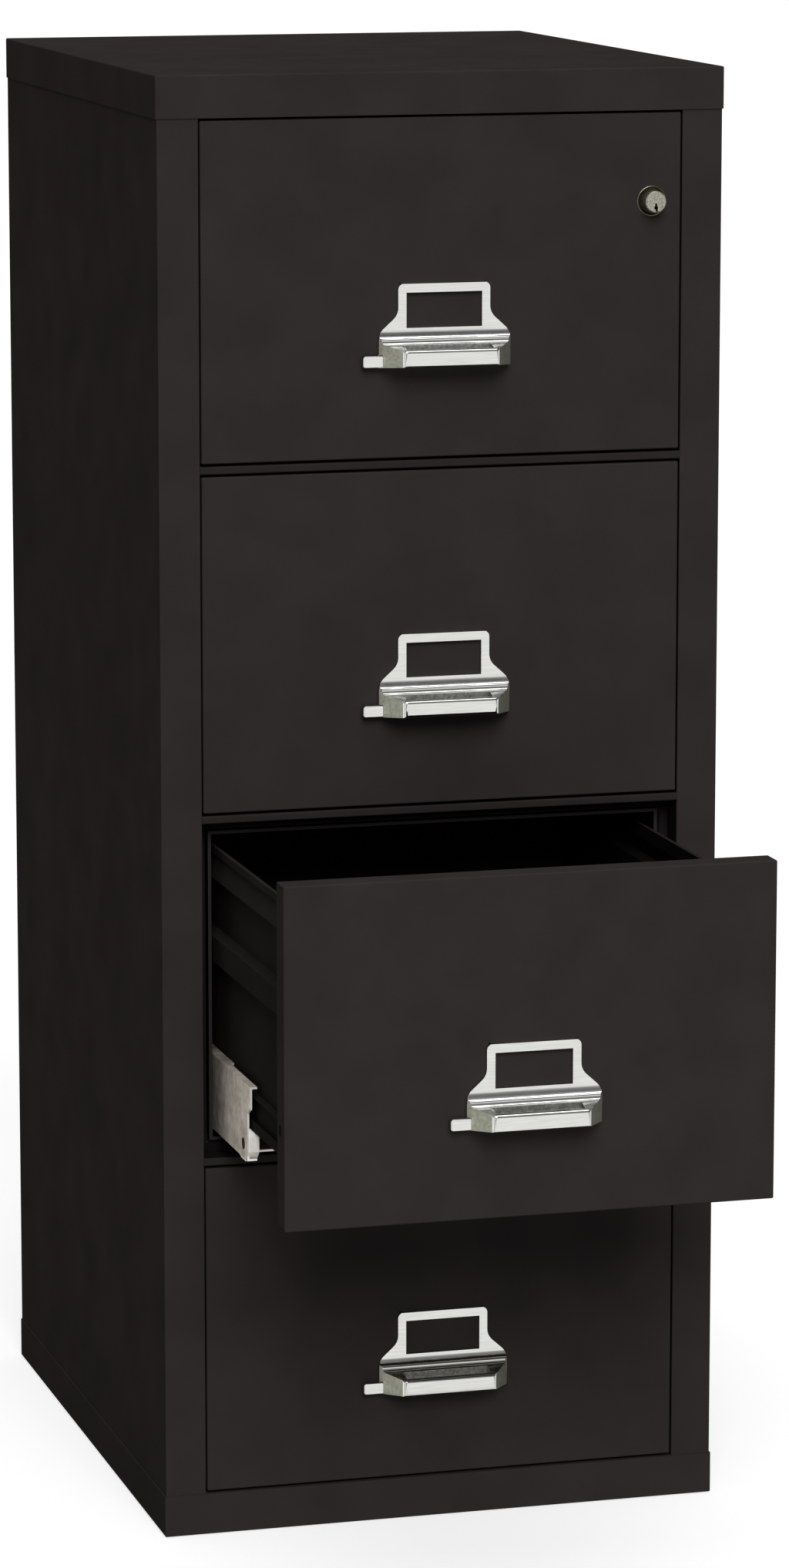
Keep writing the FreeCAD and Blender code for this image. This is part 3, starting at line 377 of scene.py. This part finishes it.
# Slide glides: moulded white nylon blocks pressed into the front of the middle members, where the
# drawer's runner rides. They look milky, with a soft sheen and light rubbing marks.
def moulded_nylon(name, bore):
    # Nylon, injection moulded: milky white, moulding texture 0.5 mm, rubbed clouds 8 mm wide, painted shade
    # in the bore
    material, tree = new_material(name)
    place = add(tree, "ShaderNodeTexCoord")
    cloud = add(tree, "ShaderNodeTexNoise", {"Vector": place.outputs["Object"]}, Scale=1 / 0.008, Detail=3.0)
    tone = add(tree, "ShaderNodeValToRGB", {"Fac": cloud.outputs["Fac"]},
               stops=((0.3, linear("ebe6e0")), (0.65, linear("fdfaf6"))))
    grain = add(tree, "ShaderNodeTexNoise", {"Vector": place.outputs["Object"]}, Scale=1 / 0.0005, Detail=1.0)
    bump = add(tree, "ShaderNodeBump", {"Height": grain.outputs["Fac"]}, Strength=0.1, Distance=0.00005)
    plastic = add(tree, "ShaderNodeBsdfPrincipled",
                  {"Base Color": shaded_bore(tree, tone.outputs["Color"], place, bore),
                   "Normal": bump.outputs["Normal"], "Subsurface Weight": 0.08,
                   "Subsurface Radius": (0.002, 0.002, 0.0016)}, Roughness=0.45, IOR=1.53)
    add(tree, "ShaderNodeOutputMaterial", {"Surface": plastic.outputs[0]})
    return material


def merged_copy(node):
    # A node's mesh with its loose triangles joined at their corners
    mesh = bmesh.new()
    mesh.from_mesh(nodes[node].data)
    bmesh.ops.remove_doubles(mesh, verts=mesh.verts[:], dist=1e-6)
    return mesh


def sharp_edges(mesh, kept, least=35):
    # Edges that turn by more than an angle in degrees and pass a test
    mesh.normal_update()
    return [edge for edge in mesh.edges
            if len(edge.link_faces) == 2 and edge.calc_face_angle() > math.radians(least) and kept(edge)]


def in_order(mesh):
    # Sorts corners and faces by their place, because extruding, spinning and bevelling leave them in an order
    # that changes from run to run, and the next bevel would then cut other polygons
    corners = sorted(mesh.verts, key=lambda vertex: tuple(round(value, 6) for value in vertex.co))
    numbers = {vertex: number for number, vertex in enumerate(corners)}
    places = [[round(value, 7) for value in vertex.co] for vertex in corners]
    rings = []
    for face in mesh.faces:
        ring = [numbers[vertex] for vertex in face.verts]
        turn = ring.index(min(ring))
        rings.append((ring[turn:] + ring[:turn], face.material_index))
    mesh.clear()
    made = [mesh.verts.new(place) for place in places]
    for ring, slot in sorted(rings):
        mesh.faces.new([made[number] for number in ring]).material_index = slot
    mesh.normal_update()


def bevelled(mesh, edges, width, segments):
    bmesh.ops.bevel(mesh, geom=edges, offset=width, segments=segments, affect="EDGES", profile=0.5,
                    material=-1, clamp_overlap=True, loop_slide=True)
    in_order(mesh)


def facing_outwards(shape):
    # Turns all faces of a closed shape outwards
    bmesh.ops.recalc_face_normals(shape, faces=shape.faces[:])
    if shape.calc_volume(signed=True) < 0:
        bmesh.ops.reverse_faces(shape, faces=shape.faces[:])


def dressed(shape, name, materials, body, replaced, crisp=50, even=True):
    # Turns a finished shape into a piece on its body, in place of a node. Edges that turn by more degrees
    # than crisp stay sharp; even keeps wide flat faces flat beside narrow rounded ones.
    facing_outwards(shape)
    mesh = bpy.data.meshes.new(name)
    shape.to_mesh(mesh)
    shape.free()
    for material in materials:
        mesh.materials.append(material)
    mesh.shade_smooth()
    mesh.set_sharp_from_angle(angle=math.radians(crisp))
    piece = bpy.data.objects.new(name, mesh)
    bpy.context.scene.collection.objects.link(piece)
    if even:
        gloss = piece.modifiers.new("even_gloss", "WEIGHTED_NORMAL")
        gloss.keep_sharp = True
        gloss.weight = 100
    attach(piece, body)
    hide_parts(replaced)
    return piece


glide_round = 0.0014
near = 1e-4
for n in drawers:
    glide = merged_copy("slide_glides_%d" % n)
    low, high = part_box("slide_glides_%d" % n)
    bmesh.ops.dissolve_limit(glide, angle_limit=math.radians(1), verts=glide.verts[:], edges=glide.edges[:])
    upper_front = sharp_edges(glide, lambda edge: all(v.co.y < low[1] + near for v in edge.verts)
                              and max(v.co.z for v in edge.verts) > (low[2] + high[2]) / 2)
    bevelled(glide, upper_front, glide_round, 3)
    dressed(glide, "slides_%d_nylon_blocks" % n, [moulded_nylon("nylon_moulded_%d" % n, slide_bore(n))],
            "slides_%d" % n, "slide_glides_%d" % n)


# Drawers: each front is a folded steel pan with an inner plate, and the tray behind it is one sheet,
# rolled at the rim and pressed into a bead, a slotted shelf and a band. Runners are screwed to its sides.
finish(body_enamel, *["drawer_%d_front" % n for n in drawers])
# The tray coat is a little darker than the body's as painted shade inside the openings, and near black on
# inward faces as painted shade
tray_enamel = enamel("baked_enamel_tray_coat", "282623", "22201e", 0.6, inward_shade_hex="141312")
for part in ("inner_plate", "tray", "runners"):
    finish(tray_enamel, *["drawer_%d_%s" % (n, part) for n in drawers])


# Handles: zinc castings, polished and chromed, screwed on from inside the drawer front. A plate with a label
# window sweeps forward into a ridge; below it stands the pull, hollow from underneath, with slanting ends
# that are only ground and a trough along its top that the polishing wheel doesn't reach.
def painted_reflection_edges(tree, colour, place):
    # Turns a colour dark along the middle of rounded edges that face the front, a painted reflection: in two
    # lines on upright edges and in one on level ones. Both ramps give the share at a part of the surface's
    # direction.
    facing = add(tree, "ShaderNodeSeparateXYZ", {"Vector": place.outputs["Normal"]})
    sideways = add(tree, "ShaderNodeMath", {0: facing.outputs["X"]}, operation="ABSOLUTE")
    shares = []
    for part, steps in ((sideways.outputs[0], ((0.09, 0), (0.16, 1), (0.31, 0.9), (0.38, 0), (0.47, 0),
                                               (0.52, 0.8), (0.57, 0))),
                        (facing.outputs["Z"], ((0.12, 0), (0.24, 0.75), (0.42, 0.75), (0.55, 0)))):
        share = add(tree, "ShaderNodeValToRGB", {"Fac": part},
                    stops=[(step, (level, level, level, 1.0)) for step, level in steps])
        shares.append(share.outputs["Color"])
    either = add(tree, "ShaderNodeMath", {0: shares[0], 1: shares[1]}, operation="MAXIMUM")
    forward = add(tree, "ShaderNodeMath", {0: facing.outputs["Y"], 1: -0.4}, operation="LESS_THAN")
    reflected_dark = add(tree, "ShaderNodeMath", {0: either.outputs[0], 1: forward.outputs[0]}, operation="MULTIPLY")
    mix = add(tree, "ShaderNodeMixRGB", {"Fac": reflected_dark.outputs[0], "Color1": colour,
                                         "Color2": linear("3a3937")})
    return mix.outputs["Color"]


def polished_chrome():
    # Chrome plate, polished: bright, slightly warm, waves 9 mm long and polishing lines 1 mm apart along X,
    # and painted dark in thin lines along the rounded edges, a painted reflection of dark surroundings
    material, tree = new_material("chrome_plate_polished")
    place = add(tree, "ShaderNodeTexCoord")
    wave = add(tree, "ShaderNodeTexNoise", {"Vector": place.outputs["Object"]}, Scale=1 / 0.009, Detail=2.0)
    along = add(tree, "ShaderNodeMapping", {"Vector": place.outputs["Object"]}, Scale=(0.05, 1.0, 1.0))
    lines = add(tree, "ShaderNodeTexNoise", {"Vector": along.outputs["Vector"]}, Scale=1 / 0.0010, Detail=3.0)
    tone = add(tree, "ShaderNodeValToRGB", {"Fac": lines.outputs["Fac"]},
               stops=((0.25, linear("cbcbc7")), (0.7, linear("dadad7"))))
    rough = add(tree, "ShaderNodeMapRange", {"Value": lines.outputs["Fac"], "To Min": 0.08, "To Max": 0.15})
    waves = add(tree, "ShaderNodeBump", {"Height": wave.outputs["Fac"]}, Strength=0.25, Distance=0.0006)
    plate = add(tree, "ShaderNodeBsdfPrincipled",
                {"Base Color": painted_reflection_edges(tree, tone.outputs["Color"], place),
                 "Roughness": rough.outputs["Result"], "Normal": waves.outputs["Normal"]}, Metallic=1.0)
    add(tree, "ShaderNodeOutputMaterial", {"Surface": plate.outputs[0]})
    return material


def unpolished_chrome(name, dark_hex, light_hex):
    # Chrome plate over a ground or a cast face: dull, with mottling 1.5 mm wide
    material, tree = new_material(name)
    place = add(tree, "ShaderNodeTexCoord")
    mottle = add(tree, "ShaderNodeTexNoise", {"Vector": place.outputs["Object"]}, Scale=1 / 0.003, Detail=4.0)
    tone = add(tree, "ShaderNodeValToRGB", {"Fac": mottle.outputs["Fac"]},
               stops=((0.35, linear(dark_hex)), (0.65, linear(light_hex))))
    bump = add(tree, "ShaderNodeBump", {"Height": mottle.outputs["Fac"]}, Strength=0.3, Distance=0.0002)
    plate = add(tree, "ShaderNodeBsdfPrincipled",
                {"Base Color": tone.outputs["Color"], "Normal": bump.outputs["Normal"]},
                Roughness=0.42, Metallic=1.0)
    add(tree, "ShaderNodeOutputMaterial", {"Surface": plate.outputs[0]})
    return material


chrome = polished_chrome()
ground_chrome = unpolished_chrome("chrome_plate_ground", "979988", "adafa1")
cast_chrome = unpolished_chrome("chrome_plate_as_cast", "6c6c69", "94948f")

# The casting in metres, from the drawer front's face and lower edge: X across, -Y forward, Z up
pull_half, plate_half, bar_half = 0.0615, 0.0430, 0.0436
pull_low, pull_foot, pull_rise, pull_top = 0.0818, 0.0860, 0.0980, 0.1060
plate_top, plate_thick, ridge_foot = 0.1572, 0.0050, 0.0122
end_straight, bar_reach = 0.0065, 0.0310
shoulder_top, shoulder_radius, shoulder_turn = 0.1360, 0.0140, math.radians(48)
top_corner = 0.0048
window_half, window_low, window_top = 0.0353, 0.1176, 0.1493
trough_half, trough_back, trough_front, trough_floor, trough_brim = 0.0405, 0.0134, 0.0270, 0.0970, 0.1012
recess_back, recess_front, recess_roof = 0.0112, 0.0284, 0.0944
tab_slot_back, tab_slot_front, tab_slot_end = 0.0036, 0.0104, -0.0370
tab_slot_mouth, tab_slot_top = 0.0845, 0.0939
corner_round, top_round, edge_round = 0.0040, 0.0014, 0.0007
shoulder_run = (pull_half - plate_half - 2 * shoulder_radius * (1 - math.cos(shoulder_turn))) \
    / math.sin(shoulder_turn)
shoulder_drop = shoulder_radius * math.sin(shoulder_turn)
shoulder_low = shoulder_top - 2 * shoulder_drop - shoulder_run * math.cos(shoulder_turn)


def casting_half_width(height):
    # Front view: rounded top corners, straight sides, S-shaped shoulders, straight lower ends
    if height > plate_top - top_corner:
        rise = min(height - plate_top + top_corner, top_corner)
        return plate_half - top_corner + math.sqrt(top_corner ** 2 - rise ** 2)
    if height > shoulder_top:
        return plate_half
    if height > shoulder_top - shoulder_drop:
        fall = shoulder_top - height
        return plate_half + shoulder_radius - math.sqrt(shoulder_radius ** 2 - fall ** 2)
    if height > shoulder_low + shoulder_drop:
        fall = shoulder_top - shoulder_drop - height
        return plate_half + shoulder_radius * (1 - math.cos(shoulder_turn)) + fall * math.tan(shoulder_turn)
    if height > shoulder_low:
        rise = height - shoulder_low
        return pull_half - shoulder_radius + math.sqrt(shoulder_radius ** 2 - rise ** 2)
    return pull_half


def pull_half_width(reach):
    # Plan view: the pull's ends slant inwards towards the bar
    share = max(0.0, (reach - end_straight) / (bar_reach - end_straight))
    return pull_half + (bar_half - pull_half) * share


def slice_across(mesh, axis, *places):
    # Cuts every face that crosses a flat plane, keeping both sides
    way = Vector((axis == "x", axis == "y", axis == "z"))
    for place in places:
        bmesh.ops.bisect_plane(mesh, geom=mesh.verts[:] + mesh.edges[:] + mesh.faces[:], dist=1e-6,
                               plane_co=way * place, plane_no=way)


def faces_in(mesh, low, high, facing, least=0.7):
    # Faces whose middle lies in a box and that look along a direction
    way = Vector(facing)
    mesh.normal_update()
    return [face for face in mesh.faces
            if all(low[i] < face.calc_center_median()[i] < high[i] for i in range(3))
            and face.normal.dot(way) > least]


def sunk(mesh, faces, axis, place):
    # Pushes a patch of faces to a flat floor, with walls round it
    moved = bmesh.ops.extrude_face_region(mesh, geom=faces)["geom"]
    bmesh.ops.delete(mesh, geom=faces, context="FACES")
    for vertex in moved:
        if isinstance(vertex, bmesh.types.BMVert):
            vertex.co[axis] = place


def handle_mesh():
    # A side view drawn out across and sliced; its ends are moved in to the front and plan views, and then
    # the window, the trough, the hollow and the tab's slot are opened
    side_view = [(0, pull_low), (bar_reach, 0.0847), (bar_reach, 0.0993), (ridge_foot, 0.1032),
                 (0.0108, 0.1041), (0.0099, 0.1052), (0.0096, 0.1065), (0.0096, 0.1072), (0.0094, 0.1079),
                 (0.0088, 0.1085), (0.0080, 0.1088), (0.0068, 0.1101), (0.0059, 0.1118), (0.00525, 0.1138),
                 (plate_thick, 0.1160), (plate_thick, plate_top), (0, plate_top)]
    mesh = bmesh.new()
    start = mesh.faces.new([mesh.verts.new((-pull_half, -reach, height)) for reach, height in side_view])
    drawn = bmesh.ops.extrude_face_region(mesh, geom=[start])["geom"]
    bmesh.ops.translate(mesh, vec=(2 * pull_half, 0, 0),
                        verts=[part for part in drawn if isinstance(part, bmesh.types.BMVert)])
    bmesh.ops.recalc_face_normals(mesh, faces=mesh.faces[:])
    slice_across(mesh, "x", -trough_half, -window_half, tab_slot_end, window_half, trough_half)
    slice_across(mesh, "y", -tab_slot_back, -end_straight, -tab_slot_front, -recess_back, -trough_back,
                 -trough_front, -recess_front)
    fifths = [step / 5 for step in range(6)]
    corner_cuts = [plate_top - top_corner * (1 - math.sin(math.radians(angle))) for angle in (0, 22, 45, 66)]
    shoulder_cuts = [shoulder_top - shoulder_drop * share for share in fifths]
    foot_cuts = [shoulder_low + shoulder_drop * share for share in fifths]
    slice_across(mesh, "z", tab_slot_top, window_low, window_top, *corner_cuts, *shoulder_cuts, *foot_cuts)
    for vertex in mesh.verts:
        if abs(vertex.co.x) > pull_half - 1e-5:
            half = min(casting_half_width(vertex.co.z), pull_half_width(-vertex.co.y))
            vertex.co.x = math.copysign(half, vertex.co.x)
    opening = [(-window_half, -plate_thick - 0.001, window_low), (window_half, 0.001, window_top)]
    window = faces_in(mesh, *opening, (0, -1, 0)) + faces_in(mesh, *opening, (0, 1, 0))
    rims = [edge for edge in mesh.edges if sum(face in window for face in edge.link_faces) == 1]
    bmesh.ops.delete(mesh, geom=window, context="FACES")
    bmesh.ops.bridge_loops(mesh, edges=rims)
    sunk(mesh, faces_in(mesh, (-trough_half, -trough_front, pull_rise),
                        (trough_half, -trough_back, pull_top), (0, 0, 1)), 2, trough_floor)
    sunk(mesh, faces_in(mesh, (-trough_half, -recess_front, 0.0),
                        (trough_half, -recess_back, pull_foot), (0, 0, -1)), 2, recess_roof)
    slot_start = (-pull_half - 0.001, -tab_slot_front, 0.0)
    slot_end = (tab_slot_end, -tab_slot_back)
    sunk(mesh, faces_in(mesh, slot_start, (*slot_end, tab_slot_top), (-1, 0, 0), 0.4), 0, tab_slot_end)
    below = faces_in(mesh, slot_start, (*slot_end, tab_slot_mouth), (0, 0, -1))
    bmesh.ops.delete(mesh, geom=below, context="FACES")
    bmesh.ops.remove_doubles(mesh, verts=mesh.verts[:], dist=2e-5)
    floors = faces_in(mesh, slot_start, (*slot_end, tab_slot_mouth), (0, 0, 1), 0.3)
    bmesh.ops.delete(mesh, geom=floors, context="FACES")
    in_order(mesh)
    # The strip behind the trough stays a face of its own, so that the top's front edge is left in one piece
    joined = [edge for edge in mesh.edges if not all(
        abs(abs(v.co.x) - trough_half) < near and -trough_back - near < v.co.y < -ridge_foot + near
        and v.co.z > trough_floor + 0.001 for v in edge.verts)]
    bmesh.ops.dissolve_limit(mesh, angle_limit=math.radians(1.5), verts=mesh.verts[:], edges=joined,
                             use_dissolve_boundaries=False)
    bmesh.ops.holes_fill(mesh, edges=mesh.edges[:])
    bmesh.ops.recalc_face_normals(mesh, faces=mesh.faces[:])
    in_order(mesh)
    return mesh


def placed(shape, name, materials, drawer, body, replaced):
    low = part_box("drawer_%d_front" % drawer)[0]
    copy = shape.copy()
    bmesh.ops.translate(copy, vec=(0, low[1], low[2]), verts=copy.verts[:])
    return dressed(copy, name, materials, body, replaced)


casting = handle_mesh()
corners = sharp_edges(casting, lambda edge: all(
    abs(v.co.y + bar_reach) < near and abs(abs(v.co.x) - bar_half) < 0.001 for v in edge.verts), 20)
bevelled(casting, corners, corner_round, 5)
top_ends = sharp_edges(casting, lambda edge: all(
    v.co.y < -recess_front + 0.0004 and v.co.z > trough_floor - 0.001 for v in edge.verts))
bevelled(casting, top_ends, top_round, 3)
bevelled(casting, sharp_edges(casting, lambda edge: all(v.co.y < -near for v in edge.verts)), edge_round, 2)
for face in casting.faces:
    middle = face.calc_center_median()
    if abs(face.normal.x) > 0.74 and abs(face.normal.z) < 0.3 and abs(middle.x) > bar_half + 0.001 \
            and middle.z < shoulder_low and middle.y < -end_straight:
        face.material_index = 1
    in_trough = abs(middle.x) < trough_half + near and -trough_front < middle.y + near \
        and middle.y - near < -trough_back and trough_floor - near < middle.z < trough_brim
    if in_trough and (middle.z < trough_floor + 0.0005 or abs(face.normal.z) < 0.5):
        face.material_index = 2
for n in drawers:
    placed(casting, "drawer_%d_pull_casting" % n, (chrome, ground_chrome, cast_chrome), n, "drawer_%d" % n,
           "drawer_%d_handle" % n)
casting.free()


# Thumb latches: a chromed tab and stem on a blackened steel bar. The tab stands out at the handle's left
# end, its corners rounded; pushed to the right it draws the bar's tip out of the jamb.
def block(mesh, low, high):
    # Adds a box between two corners and gives its edges
    made = bmesh.ops.create_cube(mesh, size=1.0)["verts"]
    bmesh.ops.scale(mesh, vec=[high[axis] - low[axis] for axis in range(3)], verts=made)
    bmesh.ops.translate(mesh, vec=[(high[axis] + low[axis]) / 2 for axis in range(3)], verts=made)
    return [edge for edge in mesh.edges if edge.verts[0] in made]


tab_left, tab_right, tab_back, tab_front = -0.0770, -0.0450, -0.0040, -0.0100
tab_low, tab_high, tab_round = 0.0830, 0.0935, 0.0020
stem_left, stem_front, stem_back = -0.0550, -0.0070, 0.0130
bar_low, bar_high, bar_near, bar_far, bar_round = 0.0842, 0.0922, 0.0100, 0.0160, 0.0004
bar_tip = -(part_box("drawer_1_front")[1][0] + 0.0006)
blackened = enamel("steel_blackened", "1b1a19", "141313", 0.6)
latch = bmesh.new()
block(latch, (tab_left, tab_front, tab_low), (tab_right, tab_back, tab_high))
bevelled(latch, [edge for edge in latch.edges if all(v.co.x < tab_left + 1e-5 for v in edge.verts)
                 and abs(edge.verts[0].co.y - edge.verts[1].co.y) > 0.001], tab_round, 4)
bevelled(latch, sharp_edges(latch, lambda edge: all(v.co.y < tab_back - 0.001 for v in edge.verts)),
         edge_round, 2)
for left, front, back in ((stem_left, stem_front, stem_back), (bar_tip, bar_near, bar_far)):
    bevelled(latch, block(latch, (left, front, bar_low), (tab_right, back, bar_high)), bar_round, 3)
for face in latch.faces:
    face.material_index = int(face.calc_center_median().y > bar_near - near)
for n in drawers:
    placed(latch, "latch_%d_thumb_casting" % n, (chrome, blackened), n, "latch_%d" % n,
           "thumb_latch_%d" % n)
latch.free()


# Latch springs: coils of plated wire in a channel behind each front's sheet. The stem presses them together
# as the tab is pushed, and their right ends stay against the channel's wall.
for n in drawers:
    node = "latch_spring_%d" % n
    coil = dressed(merged_copy(node), "latch_%d_spring_coil" % n, [zinc], "drawer_%d" % n, node)
    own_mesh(coil)


# Lock: a turned brass housing, olive brown as a painted reflection, with a painted highlight on its rim, and
# a plunger and plug of sand-blasted zinc, speckled grey, with painted shade in the keyway.
def brass_painted_dark():
    # Brass, turned: near black olive as a painted reflection of dark surroundings, with cloudy wear 3 mm wide
    material, tree = new_material("brass_darkened")
    place = add(tree, "ShaderNodeTexCoord")
    cloud = add(tree, "ShaderNodeTexNoise", {"Vector": place.outputs["Object"]}, Scale=1 / 0.003, Detail=4.0)
    tone = add(tree, "ShaderNodeValToRGB", {"Fac": cloud.outputs["Fac"]},
               stops=((0.3, linear("26251d")), (0.72, linear("423f2d"))))
    metal = add(tree, "ShaderNodeBsdfPrincipled", {"Base Color": tone.outputs["Color"]},
                Roughness=0.48, Metallic=1.0)
    add(tree, "ShaderNodeOutputMaterial", {"Surface": metal.outputs[0]})
    return material


def brass_rim_highlight():
    # Brass rim: pale grey-gold as a painted highlight, scratched every 0.5 mm
    material, tree = new_material("brass_rubbed")
    place = add(tree, "ShaderNodeTexCoord")
    scratch = add(tree, "ShaderNodeTexNoise", {"Vector": place.outputs["Object"]},
                  Scale=1 / 0.0010, Detail=2.0)
    tone = add(tree, "ShaderNodeValToRGB", {"Fac": scratch.outputs["Fac"]},
               stops=((0.35, linear("46433a")), (0.65, linear("6b675b"))))
    metal = add(tree, "ShaderNodeBsdfPrincipled", {"Base Color": tone.outputs["Color"]},
                Roughness=0.36, Metallic=1.0)
    add(tree, "ShaderNodeOutputMaterial", {"Surface": metal.outputs[0]})
    return material


def blasted_zinc(name, patch=None):
    # Zinc, cast and sand-blasted: grey-beige with light and dark specks 0.5 mm wide, painted shade inside the
    # patch
    material, tree = new_material(name)
    place = add(tree, "ShaderNodeTexCoord")
    grit = add(tree, "ShaderNodeTexNoise", {"Vector": place.outputs["Object"]}, Scale=1 / 0.0011, Detail=3.0)
    tone = add(tree, "ShaderNodeValToRGB", {"Fac": grit.outputs["Fac"]},
               stops=((0.35, linear("6f6d63")), (0.66, linear("a5a296"))))
    colour = tone.outputs["Color"]
    if patch:
        colour = patched(tree, colour, place, *patch)
    bump = add(tree, "ShaderNodeBump", {"Height": grit.outputs["Fac"]}, Strength=0.4, Distance=0.0002)
    metal = add(tree, "ShaderNodeBsdfPrincipled", {"Base Color": colour, "Normal": bump.outputs["Normal"]},
                Roughness=0.5, Metallic=1.0)
    add(tree, "ShaderNodeOutputMaterial", {"Surface": metal.outputs[0]})
    return material


plunger_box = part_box("lock_plunger")
housing_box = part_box("lock_housing")
lock_middle = ((plunger_box[0][0] + plunger_box[1][0]) / 2, front_face,
               (plunger_box[0][2] + plunger_box[1][2]) / 2)
bezel_radius = (housing_box[1][0] - housing_box[0][0]) / 2
bezel_reach = lock_middle[1] - housing_box[0][1]
housing_depth = housing_box[1][1] - lock_middle[1]
bore_radius, rim_thick, rim_wide, body_radius, mouth_radius = 0.00978, 0.0008, 0.0008, 0.0120, 0.0108
# Half of the housing's cut, as radius and depth behind the drawer's face, with its edges broken
section = [(bore_radius, housing_depth), (bore_radius, -bezel_reach + 0.0004),
           (bore_radius + 0.0003, -bezel_reach), (mouth_radius - 0.0003, -bezel_reach),
           (mouth_radius, -bezel_reach + 0.0003), (bezel_radius - 0.0007, -rim_thick - 0.0002),
           (bezel_radius - 0.0002, -rim_thick), (bezel_radius, -rim_thick + 0.0002), (bezel_radius, 0.0),
           (body_radius, 0.0), (body_radius, housing_depth)]
housing = bmesh.new()
ring = [housing.verts.new((lock_middle[0] + radius, lock_middle[1] + depth, lock_middle[2]))
        for radius, depth in section]
outline = [housing.edges.new((ring[i], ring[(i + 1) % len(ring)])) for i in range(len(ring))]
bmesh.ops.spin(housing, geom=ring + outline, cent=lock_middle, axis=(0, 1, 0), angle=math.tau, steps=72,
               use_merge=True)
bmesh.ops.remove_doubles(housing, verts=housing.verts[:], dist=1e-6)
in_order(housing)
for face in housing.faces:
    middle = face.calc_center_median()
    out = math.hypot(middle.x - lock_middle[0], middle.z - lock_middle[2])
    ahead = lock_middle[1] - middle.y
    face.material_index = int(out > bezel_radius - rim_wide and ahead < rim_thick + 0.0002)
dressed(housing, "lock_bezel_turned", (brass_painted_dark(), brass_rim_highlight()), "drawer_1",
        "lock_housing", crisp=35, even=False)
finish(blasted_zinc("zinc_cast_blasted"), "lock_plunger")
plug_low, plug_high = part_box("lock_plug")
plug_face = 0.0004
# Behind the plug's face the keyway's walls are painted near black: painted shade in the slot
keyway_shade = ((plug_low[0], plug_low[1] + plug_face, plug_low[2]),
          (plug_high[0], plug_high[1] + 0.001, plug_high[2]))
finish(blasted_zinc("zinc_cast_blasted_keyed", (*keyway_shade, "0c0b09")), "lock_plug")
finish(zinc, "lock_bolt")
